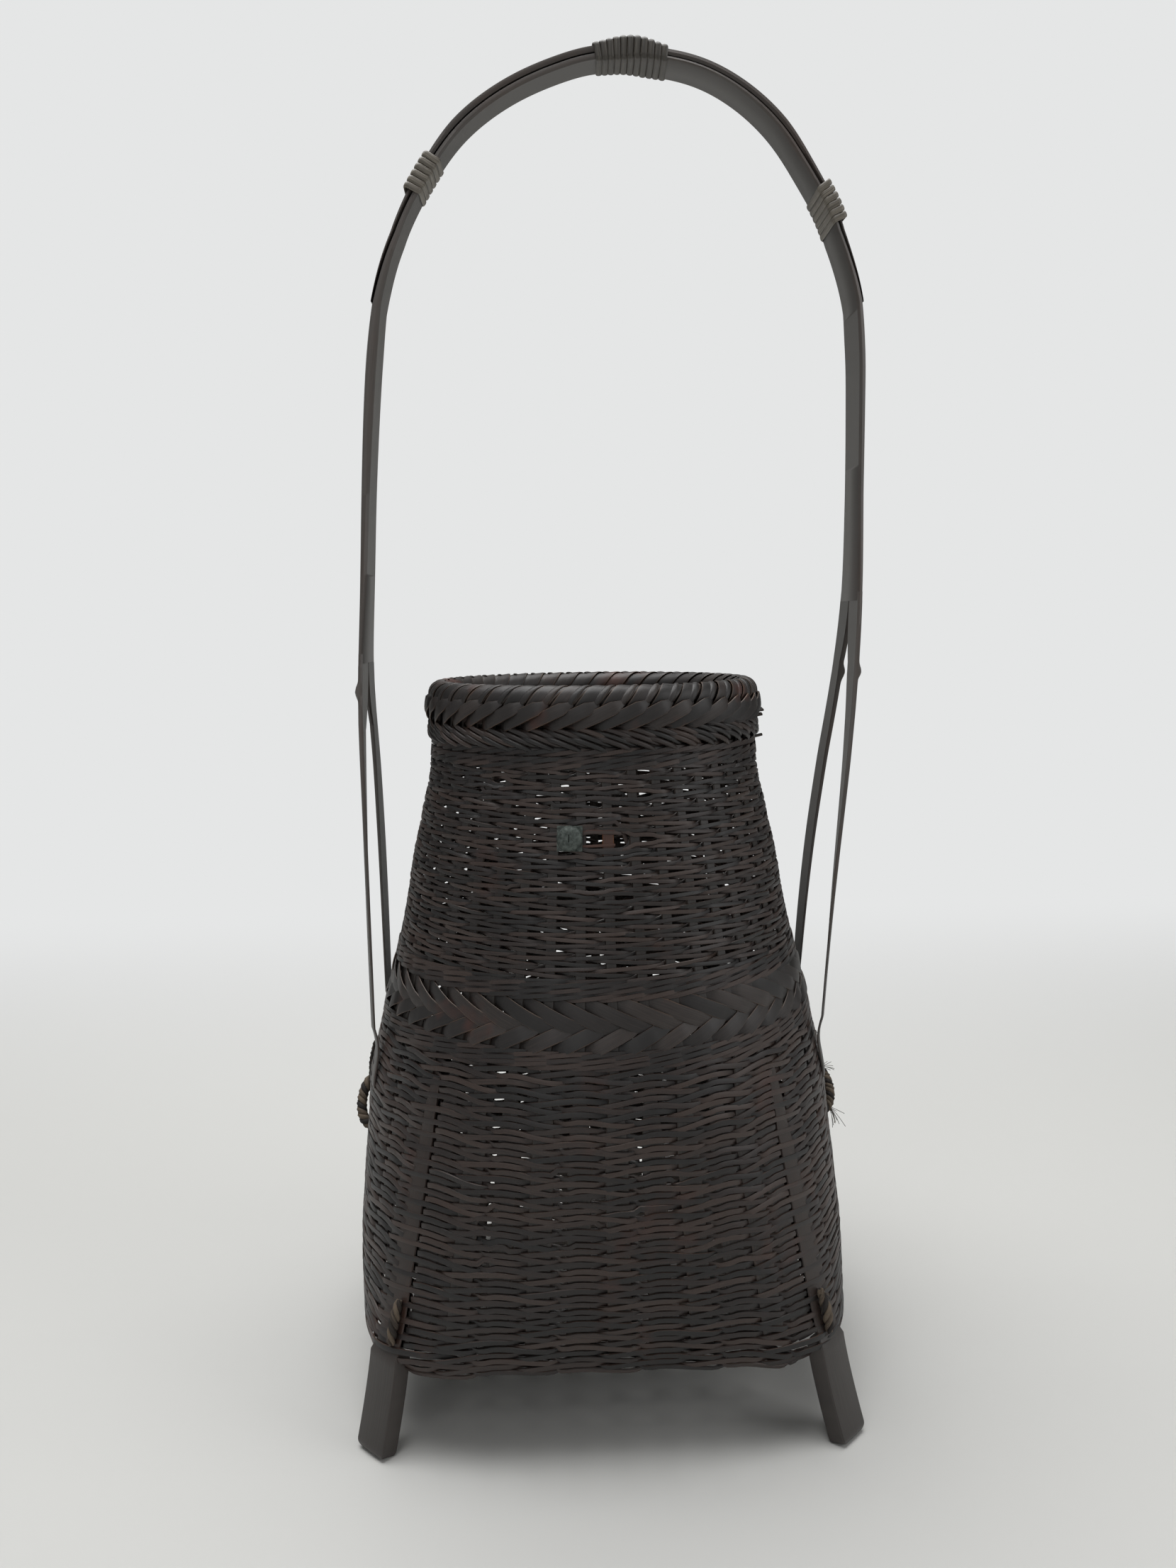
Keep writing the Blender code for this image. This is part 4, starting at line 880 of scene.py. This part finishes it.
# Feet: slats that stand in the weave at the corners, with thick lower ends that splay outwards
foot = {
    "slatHeights": (127.5, 31.0), "slatThickness": 1.1,
    "slatWidths": [(30, 13.6), (42, 12.4), (62, 10.6), (98, 7.6), (128, 4.2)],
    "slatOffset": -0.8, "slatInboard": 2.6, "slatPitch": 15.2, "top": 35.6, "thickness": 6.9, "width": 14.4,
    "topReach": 108.4,
    "rounding": 2.7, "curl": 1.25, "topRounding": 1.2, "topThinner": 2.4, "topNarrower": 0.7,
    "tipThinner": 1.5,
    "reach": {"front_left": 116.2, "front_right": 118.4, "back_left": 118.0, "back_right": 117.4},
    "tipLevels": [2.7, 2.0, 1.4, 0.9, 0.5, 0.2, 0.0],
}
roundedBar = [(-1, -0.8), (-1, 0.78), (-0.95, 0.95), (-0.84, 1.0), (0, 1.04), (0.84, 1.0), (0.95, 0.95),
              (1, 0.78), (1, -0.8), (0.9, -1), (-0.9, -1)]


def makeFeet():
    f = foot
    heights = np.linspace(*f["slatHeights"], 40)
    levels = np.concatenate([np.linspace(f["top"], 3.4, 14), f["tipLevels"]])
    # The tip is rounded below, and the top edge a little
    closing = f["rounding"] - np.sqrt(f["rounding"] ** 2 - np.clip(f["rounding"] - levels, 0, None) ** 2)
    topClosing = np.clip((levels - f["top"] + f["topRounding"]) / f["topRounding"], 0, 1) ** 2
    thickness = f["thickness"] - f["tipThinner"] * closing - f["topThinner"] * topClosing
    halfWidth = 0.5 * f["width"] - closing - f["topNarrower"] * topClosing
    for corner, column in corners["slatColumns"].items():
        name, node = "footSlat" + joinedWords(corner), "foot_slat_" + corner
        slatWidth = 0.5 * tableAt(heights, f["slatWidths"])
        # The inboard edge, on the side of the basket's front or back,
        # runs straight; the slat widens away from it
        inboard = 1 if corner in ("front_left", "back_right") else -1
        placed = column - inboard * (slatWidth - f["slatInboard"]) / f["slatPitch"]
        points, out = onBody(placed, heights + cornerSag(column, heights), f["slatOffset"])
        group = (points[None], out[None], slatWidth[None], f["slatThickness"], skinProfile, None)
        stripObject(name + "Woven", [group], slatMaterial, [node])
        middle = onBody(placed[-1], 40.0)[0]
        way = np.array([middle[0], middle[1], 0.0]) / math.hypot(middle[0], middle[1])
        outer = f["topReach"] + (f["reach"][corner] - f["topReach"]) * (1 - levels / f["top"]) ** f["curl"]
        centre = way * (outer - 0.5 * f["thickness"])[:, None] + np.array([0, 0, 1.0]) * levels[:, None]
        outward = np.broadcast_to(way, centre.shape)
        group = (centre[None], outward[None], halfWidth[None], thickness[None], roundedBar, None)
        stripObject(name + "End", [group], footMaterial, [node], 32)
    print("feet:", len(corners["slatColumns"]))


def cordGroup(path, strands, spread, strandRadius, pitch):
    # Strands that wind round a path; spread and strandRadius may change along it
    path = np.asarray(path, float)
    along = unit(np.gradient(path, axis=0))
    way = np.concatenate([[0.0], np.cumsum(np.linalg.norm(np.diff(path, axis=0), axis=1))])
    guide = np.array([0.0, 0.0, 1.0]) if abs(along[0, 2]) < 0.9 else np.array([0.0, 1.0, 0.0])
    side = unit(np.cross(along, guide))
    rise = np.cross(side, along)
    centres, outward = [], []
    for strand in range(strands):
        turn = 2 * math.pi * (way / pitch + strand / strands)
        out = side * np.cos(turn)[:, None] + rise * np.sin(turn)[:, None]
        centres.append(path + out * np.broadcast_to(spread, len(path))[:, None])
        outward.append(out)
    return np.array(centres), np.array(outward), strandRadius, 2 * np.asarray(strandRadius), cordProfile, None


def frayedEnds(place, way, count, length, radius):
    # Loose fibres that fan out from a cord's end
    centres = []
    share = np.linspace(0, 1, 9)[:, None]
    for _ in range(count):
        spread = unit(np.asarray(way) + chance.normal(0, 0.35, 3))
        sag = np.array([0, 0, -0.35]) + chance.normal(0, 0.25, 3)
        centres.append(place + spread * share * length * chance.uniform(0.5, 1.1) + sag * length * share ** 2)
    centres = np.array(centres)
    out = np.broadcast_to(np.array([0.3, -1.0, 0.2]), centres.shape)
    return centres, out, radius, 2 * radius, cordProfile, None


# Side ties: a braided loop between the handle's legs, and a thin cord from it up to the tips of the legs
sideTies = {
    "height": 104.0, "drop": 15.5, "reach": 5.0, "inside": 1.2, "swing": 0.35, "strandRadius": 1.1,
    "spread": 1.05, "pitch": 7.5,
    "knotRadius": 0.7, "knotSwell": 0.55, "knotPitch": 5.0,
    "legCordTop": 121.0, "legCordRadius": 0.55, "legCordPitch": 4.0, "legCordOut": 0.5, "legCordTuck": 1.4,
    "legCordSide": 2.0,
}
# Foot ties: column, way that the cord is laid, height of the upper end
footTies = {
    "corners": {
        "front_left": (39.3, 1, 53.0), "front_right": (5.44, -1, 51.5),
        "back_left": (27.8, 1, 54.0), "back_right": (16.6, -1, 53.0),
    },
    "drop": 14.5, "reach": 0.9, "strandRadius": 0.95, "pitch": 9.0,
}


def makeSideTies():
    t = sideTies
    turn = np.linspace(0, math.pi, 40)
    height = t["height"] - t["drop"] * (0.5 - 0.5 * np.cos(turn))
    reach = outlineAt(height, 1) - t["inside"] + t["reach"] * np.sin(turn)
    path = np.stack([-reach, t["swing"] * t["drop"] * np.cos(turn), height], 1)
    levels = np.linspace(t["height"] - 1.0, t["legCordTop"], 30)
    tuck = t["legCordTuck"] * np.clip((levels - t["legCordTop"] + 2) / 2, 0, 1)
    out = outlineAt(levels, 1) + t["legCordOut"] - tuck
    upwards = np.stack([-out, t["legCordSide"] + 0 * levels, levels], 1)
    loop = cordGroup(path, 3, t["spread"], t["strandRadius"], t["pitch"])
    legCord = cordGroup(upwards, 2, t["legCordRadius"], t["legCordRadius"], t["legCordPitch"])
    stripObject("sideTieLeft", [loop, legCord], cordMaterial, ["side_tie_left"])
    # The right one is a thick knot with frayed ends
    path, upwards = path * np.array([-1, 1, 1]), upwards * np.array([-1, 1, 1])
    radius = t["knotRadius"] * (1 + t["knotSwell"] * np.sin(turn) ** 2)
    knot = cordGroup(path, 3, radius, radius, t["knotPitch"])
    legCord = cordGroup(upwards, 2, t["legCordRadius"], t["legCordRadius"], t["legCordPitch"])
    frayed = [frayedEnds(path[6], (0.9, -0.3, 0.5), 9, 6.0, 0.1),
              frayedEnds(path[30], (0.8, -0.3, -0.6), 11, 7.0, 0.1)]
    stripObject("sideTieRight", [knot, legCord] + frayed, cordMaterial, ["side_tie_right"])
    print("side ties: 2")


def makeFootTies():
    t = footTies
    share = np.linspace(1, 0, 40)
    radius = t["strandRadius"] * (0.55 + 0.5 * np.sin(math.pi * share) ** 0.6)
    for corner, (column, hand, top) in t["corners"].items():
        height = top - t["drop"] * (1 - share)
        points, _ = onBody(np.full(len(height), column), height, t["reach"] * (1 + np.sin(math.pi * share)))
        groups = [cordGroup(points, 3, radius, radius, t["pitch"] * hand)]
        if corner == "front_right":
            groups.append(frayedEnds(points[4], (0.3, -0.8, 0.5), 8, 4.5, 0.09))
        stripObject("footTie" + joinedWords(corner), groups, cordMaterial, ["foot_tie_" + corner])
    print("foot ties:", len(t["corners"]))


# Handle: one strip of culm bent to an arch and split at both ends into a front and a back leg. left and right
# are points of its outer face, across and up; half depths and leg widths run from front to back
handle = {
    "left": [
        (-84.3, 104), (-84.6, 118), (-84.9, 132), (-85.4, 164), (-85.9, 195), (-86.5, 226), (-87.2, 257),
        (-86.3, 289), (-84.5, 335), (-82.7, 365), (-81.4, 380), (-79.3, 395), (-74.0, 417.5), (-67.9, 431.8),
        (-60.0, 445.2), (-48.6, 460.3), (-29.4, 474.6), (-12.5, 482),
    ],
    "right": [
        (83.4, 104), (83.8, 118), (84.5, 128), (87, 160), (90, 191), (93.9, 223), (97.9, 255), (100.6, 286),
        (101.5, 333), (101.6, 364), (101.5, 379), (101.0, 387), (99.5, 402), (95.8, 416.5), (90.8, 431.5),
        (82.4, 445.4), (72.2, 460.4), (56.4, 474.2), (43.4, 481.0), (20.0, 485.6),
    ],
    "apex": (5.0, 486.6), "coverThickness": 2.6, "coverTip": 0.2, "coverFrom": 398.0, "coverTaper": 70.0,
    "thickness": 2.0, "legTipThickness": 0.9,
    "letIn": 2.0,
    "thicknesses": {
        "left": [
            (250, 2.0), (268, 2.1), (305, 3.2), (330, 3.7), (380, 4.5), (405, 3.6), (430, 2.5), (487, 2.6),
        ],
        "right": [(250, 2.0), (350, 2.7), (385, 2.9), (420, 2.0), (455, 2.0), (487, 1.6)],
    },
    "halfDepths": [
        (104, 27.5), (165, 28.3), (190, 27.7), (226, 24.8), (245.5, 21.3), (264.6, 17.6), (299, 13.1),
        (341, 10.7), (380, 9.9), (430, 8.4), (487, 6.8),
    ],
    "legWidths": [(104, 4.2), (150, 6.3), (200, 8.4), (255, 10.6), (262, 11.0)],
    "legTuck": [(104, -2.4), (108, -2.0), (112, 0.6), (122, 1.4), (134, 1.7)], "legTuckTop": 134.0,
    "legTuckBlend": 12.0,
    "legTwist": math.atan2(25.0, 84.0), "legThinning": 120.0, "spliceDepth": 1.8,
    "splits": {"left": 268.0, "right": 290.0}, "crotchLength": 22.0,
    "nodeHeight": {"left": 257.0, "right": 263.0},
    "nodeRise": 1.2, "nodeHalfLength": 5.0,
}


def curveThrough(knots, spacing):
    # Smooth curve through points, sampled at an even spacing
    knots = np.asarray(knots, float)
    way = np.concatenate([[0.0], np.cumsum(np.linalg.norm(np.diff(knots, axis=0), axis=1))])
    slope = np.gradient(knots, way, axis=0)
    at = np.arange(0, way[-1], spacing)
    i = np.clip(np.searchsorted(way, at, side="right") - 1, 0, len(way) - 2)
    span = (way[i + 1] - way[i])[:, None]
    t = ((at - way[i])[:, None]) / span
    return (knots[i] * (1 + 2 * t) * (1 - t) ** 2 + slope[i] * span * t * (1 - t) ** 2
            + knots[i + 1] * t * t * (3 - 2 * t) + slope[i + 1] * span * t * t * (t - 1))


def smoothed(values, rounds):
    for _ in range(rounds):
        values = np.concatenate([values[:1], 0.25 * values[:-2] + 0.5 * values[1:-1] + 0.25 * values[2:],
                                 values[-1:]])
    return values


def handleDepth(line):
    # Half depth along the arch; the right side, which laps under the left at the top, is broader there
    splice = np.clip((line[..., 0] - 14.0) / 8.0, 0, 1) * np.clip((line[..., 1] - 330.0) / 60.0, 0, 1)
    return tableAt(line[..., 1], handle["halfDepths"]) + handle["spliceDepth"] * splice


def archThickness(line):
    # The left side is thicker than the right; they meet inside the top lashing
    left, right = (tableAt(line[..., 1], handle["thicknesses"][side]) for side in ("left", "right"))
    share = np.clip((line[..., 0] - 8.0) / 12.0, 0, 1)
    return left + share * (right - left)


def letIn(line):
    # Under the cover strip the arch lies a little lower, so that
    # the cover's outer face is flush with the legs
    return handle["letIn"] * np.clip((line[..., 1] - handle["coverFrom"]) / 25.0, 0, 1)


def handleLine():
    # Outer face of the arch from the left leg's foot over the top to
    # the right leg's foot, with its outward ways
    knots = handle["left"] + [handle["apex"]] + handle["right"][::-1]
    line = smoothed(curveThrough(knots, 1.0), 60)
    along = unit(np.gradient(line, axis=0))
    return line, np.stack([-along[:, 1], along[:, 0]], 1)


archLine, archOut = handleLine()
archTop = int(np.argmax(archLine[:, 1]))


def archIndex(height, side):
    # Station of the arch at a height on one of its sides
    if side == "left":
        return int(np.argmax(archLine[:archTop, 1] > height))
    return archTop + int(np.argmax(archLine[archTop:, 1] < height))


def inSpace(flat):
    # From the plane of the arch to space
    return np.stack([flat[:, 0], np.zeros(len(flat)), flat[:, 1]], 1)


def legGroup(side, front):
    h = handle
    way = np.array([0.0, -1.0 if front else 1.0, 0.0])
    split = archIndex(h["splits"][side], side)
    # The first three stations lie inside the hoop strip, so that the split shows no end
    stations = np.arange(split + 3, -1, -1) if side == "left" else np.arange(split - 3, len(archLine))
    height = archLine[stations, 1]
    inside = np.clip(height - h["splits"][side] + 1.0, 0, 1)
    outer = tableAt(height, h["halfDepths"])
    width = np.minimum(tableAt(height, h["legWidths"]), outer)
    opening = np.clip((h["splits"][side] - height) / h["crotchLength"], 0, 1)
    inner = np.maximum((outer - width) * opening ** 1.3, 0.12 + 1.2 * opening)
    depth = 0.5 * (outer + inner)
    outer = outer - 0.08 * inside
    lowered = np.clip((h["nodeHeight"][side] - height) / h["legThinning"], 0, 1)
    atSplit = float(archThickness(archLine[split]))
    thickness = atSplit - (atSplit - h["legTipThickness"]) * lowered - 0.1 * inside
    bulge = h["nodeRise"] * np.exp(-((height - h["nodeHeight"][side]) / (0.42 * h["nodeHalfLength"])) ** 2)
    centre = inSpace(archLine[stations]) + depth[:, None] * way
    out = unit(inSpace(archOut[stations]) + np.tan(lowered * h["legTwist"])[:, None] * way)
    # The legs follow the wall, and their thin tips dive under the top rows of the lower weave
    reach = np.hypot(centre[:, 0], centre[:, 1])
    share = np.clip((h["legTuckTop"] - height) / h["legTuckBlend"], 0, 1)
    reach = reach + share * (outlineAt(height, 1) + tableAt(height, h["legTuck"]) - reach)
    centre[:, :2] = unit(centre[:, :2]) * reach[:, None]
    centre = centre + out * (0.5 * bulge - 0.5 * thickness - 0.05 * inside)[:, None]
    halfWidth = 0.5 * (outer - inner)
    return centre[None], out[None], halfWidth[None], (thickness + bulge)[None], skinProfile, None


def stationsAbove(left, right):
    return np.arange(archIndex(left, "left"), archIndex(right, "right") + 1)


def makeHandle():
    h = handle
    stations = stationsAbove(h["splits"]["left"], h["splits"]["right"])
    line, outward = archLine[stations], inSpace(archOut[stations])
    thickness = archThickness(line)
    centre = inSpace(line) - outward * (letIn(line) + 0.5 * thickness)[:, None]
    groups = [(centre[None], outward[None], handleDepth(line)[None], thickness[None], skinProfile, None)]
    groups += [legGroup(side, front) for side in ("left", "right") for front in (True, False)]
    stripObject("handleHoop", groups, hoopMaterial, ["handle_hoop"])

    # The cover strip tapers to thin ends
    stations = stationsAbove(h["coverFrom"], h["coverFrom"])
    line, outward = archLine[stations], inSpace(archOut[stations])
    ends = np.minimum(stations - stations[0], stations[-1] - stations)
    taper = np.clip(ends / h["coverTaper"], 0, 1) ** 0.8
    thickness = h["coverTip"] + (h["coverThickness"] - h["coverTip"]) * taper
    centre = inSpace(line) + outward * (0.12 * taper + 0.5 * thickness - letIn(line))[:, None]
    group = (centre[None], outward[None], (handleDepth(line) * (0.9 + 0.07 * taper))[None], thickness[None],
             skinProfile, None)
    # The cover strip gets the darkened copy of the handle's colours, which is painted shade
    stripObject("handleCoverStrip", [group], coverShadedMaterial, ["handle_cover_strip"])
    print("handle:", len(archLine), "stations")


# Lashings: flat split rattan wound round both layers of the handle in one winding. Place is a point
# of the arch that the winding is centred on, and lump how far its middle stands up
lashings = {
    "top": {"place": (15.8, 485.9), "loops": 11, "pitch": 2.42, "lump": 2.2},
    "left": {"place": (-61.9, 444.2), "loops": 6, "pitch": 2.5, "lump": 0.0},
    "right": {"place": (90.5, 433.0), "loops": 6, "pitch": 2.5, "lump": 0.0},
}
lashingStrip = {"width": 2.3, "thickness": 0.62, "corner": 1.3, "beside": 0.45, "over": 0.5, "under": 0.4}


def lashingLoop(halfDepth, high, low):
    # Rounded rectangle round the handle: depth, height above the hoop's outer face, turn of its outward way
    corner = lashingStrip["corner"]
    points = []
    for k, (y, n) in enumerate(((1, 1), (-1, 1), (-1, -1), (1, -1))):
        centre = ((halfDepth - corner) * y, high - corner if n > 0 else low + corner)
        for share in np.linspace(0, 1, 5):
            turn = math.pi / 2 * (k + share)
            points.append((centre[0] + corner * math.cos(turn), centre[1] + corner * math.sin(turn), turn))
        # More stations along the two broad faces
        if k in (0, 2):
            _, level, turn = points[-1]
            points += [(centre[0] * (1 - 2 * share), level, turn) for share in (0.25, 0.5, 0.75)]
    return points


def windLashings():
    s = lashingStrip
    perLoop = len(lashingLoop(5, 1, -1))
    index = np.arange(len(archLine))
    for side, lash in lashings.items():
        middle = int(np.argmin(np.linalg.norm(archLine - np.array(lash["place"]), axis=1)))
        start = middle - 0.5 * lash["loops"] * lash["pitch"]
        steps = lash["loops"] * perLoop
        centres, outward = [], []
        for i in range(steps):
            at = start + lash["pitch"] * i / perLoop
            line = np.array([np.interp(at, index, archLine[:, a]) for a in (0, 1)])
            out = unit(np.array([np.interp(at, index, archOut[:, a]) for a in (0, 1)]))
            lump = lash["lump"] * math.sin(math.pi * i / steps) ** 2
            halfDepth = float(handleDepth(line)) + s["beside"]
            high = float(handle["coverThickness"] + s["over"] + lump - letIn(line))
            low = float(-archThickness(line) - letIn(line) - s["under"])
            y, n, turn = lashingLoop(halfDepth, high, low)[i % perLoop]
            centres.append((line[0] + out[0] * n, y, line[1] + out[1] * n))
            outward.append((out[0] * math.sin(turn), math.cos(turn), out[1] * math.sin(turn)))
        group = (np.array(centres)[None], np.array(outward)[None], 0.5 * s["width"], s["thickness"],
                 domedProfile, None)
        stripObject(side + "Lashing", [group], rattanMaterial, [side + "_lashing"], 60)
    print("lashings:", sum(lash["loops"] for lash in lashings.values()), "loops")


weaveLower()
weaveUpper()
weaveStakes()
makeScraped()
weaveFloor()
braidWaist()
braidCollar()
braidRim()
makeFeet()
makeSideTies()
makeFootTies()
makeHandle()
windLashings()


# Camera of the photograph: place in millimetres, turns in degrees
view = {"place": (-21.3, -486.2, 283.5), "yaw": -2.25, "pitch": 7.32, "roll": -0.71,
        "focalPixels": 1791.0, "imageHeight": 2212.0, "sensorHeight": 24.0}


def makeCamera():
    yaw, pitch, roll = (math.radians(view[k]) for k in ("yaw", "pitch", "roll"))
    right = np.array([math.cos(yaw), math.sin(yaw), 0.0])
    level = np.array([-math.sin(yaw), math.cos(yaw), 0.0])
    ahead = level * math.cos(pitch) - np.array([0, 0, math.sin(pitch)])
    up = level * math.sin(pitch) + np.array([0, 0, math.cos(pitch)])
    ways = (right * math.cos(roll) + up * math.sin(roll), up * math.cos(roll) - right * math.sin(roll),
            -ahead)
    data = bpy.data.cameras.new("camera")
    data.sensor_fit = "VERTICAL"
    data.sensor_height = view["sensorHeight"]
    data.lens = view["focalPixels"] / view["imageHeight"] * view["sensorHeight"]
    data.clip_start = 0.02
    data.clip_end = 20.0
    bpy.context.scene.camera = addObject("camera", data, ways, np.array(view["place"]) * mm)


# Studio: pale paper and soft lamps; places and sizes in metres, power in watts. The paper
# lies flat from front to bend, and curves up behind the basket to its top
stage = {
    "paper": "#d8d8d5", "backdrop": "#e5e6e6", "fadeStart": 0.15, "fadeEnd": 0.75,
    "front": -1.6, "bend": 0.9, "bendRadius": 0.9, "top": 3.4, "halfWidth": 3.5,
    "lamps": {
        "lampOverhead": ((-0.15, 0.15, 1.5), 1.3, 23.5),
        "lampFront": ((-0.5, -1.5, 1.0), 1.2, 3.5),
        "lampRight": ((1.3, -0.5, 0.8), 0.9, 4.5),
    },
    "aim": 0.2, "world": "#e8e9ea", "worldStrength": 0.095, "worldShine": 0.46,
}


def makeStage():
    s = stage
    material, tree = newMaterial("paperSweepPale")
    paper = addNode(tree, "ShaderNodeBsdfPrincipled",
                    {"Base Color": linearColour(s["paper"]), "Roughness": 0.9, "Specular IOR Level": 0.1})
    # Far behind, the paper is evenly bright for the camera; near the basket it keeps its shadow
    place = addNode(tree, "ShaderNodeNewGeometry")
    parts = addNode(tree, "ShaderNodeSeparateXYZ", links={0: place.outputs["Position"]})
    fade = {"interpolation_type": "SMOOTHSTEP", "From Min": s["fadeStart"], "From Max": s["fadeEnd"]}
    far = rangeNode(tree, parts.outputs[1], fade)
    rays = addNode(tree, "ShaderNodeLightPath")
    seen = mathNode(tree, "MULTIPLY", {0: far, 1: rays.outputs["Is Camera Ray"]})
    glow = addNode(tree, "ShaderNodeEmission", {"Color": linearColour(s["backdrop"]), "Strength": 1.0})
    blend = addNode(tree, "ShaderNodeMixShader", links={0: seen, 1: paper.outputs[0], 2: glow.outputs[0]})
    addNode(tree, "ShaderNodeOutputMaterial", links={0: blend.outputs[0]})
    bend = [(s["bend"] + s["bendRadius"] * math.sin(t), s["bendRadius"] * (1 - math.cos(t)))
            for t in np.linspace(0.1, math.pi / 2, 14)]
    profile = [(s["front"], 0.0), (s["bend"], 0.0)] + bend + [(s["bend"] + s["bendRadius"], s["top"])]
    vertices = [(x, y, z) for y, z in profile for x in (-s["halfWidth"], s["halfWidth"])]
    faces = [(2 * i, 2 * i + 1, 2 * i + 3, 2 * i + 2) for i in range(len(profile) - 1)]
    mesh = bpy.data.meshes.new("paperSweep")
    mesh.from_pydata(vertices, [], faces)
    mesh.shade_smooth()
    mesh.materials.append(material)
    addObject("paperSweep", mesh)


def makeLights():
    for name, (place, size, power) in stage["lamps"].items():
        data = bpy.data.lights.new(name, "AREA")
        data.energy = power
        data.size = size
        away = np.array(place) - np.array([0, 0, stage["aim"]])
        side = unit(np.cross([0, 0, 1.0], away))
        addObject(name, data, (side, np.cross(unit(away), side), unit(away)), place)
    world = bpy.data.worlds.new("studio")
    bpy.context.scene.world = world
    world.use_nodes = True
    tree = world.node_tree
    tree.nodes.clear()
    # The walls of the studio shine in the skins, and light them only a little
    rays = addNode(tree, "ShaderNodeLightPath")
    reflected = rangeNode(tree, rays.outputs["Is Glossy Ray"],
                          {"To Min": stage["worldStrength"], "To Max": stage["worldShine"]})
    strength = mathNode(tree, "MAXIMUM", {0: reflected, 1: rays.outputs["Is Camera Ray"]})
    shine = addNode(tree, "ShaderNodeBackground", {"Color": linearColour(stage["world"])},
                    {"Strength": strength})
    addNode(tree, "ShaderNodeOutputWorld", links={0: shine.outputs[0]})


makeCamera()
makeStage()
makeLights()
bpy.context.scene.view_settings.view_transform = "Standard"
print("camera, lights and floor made")
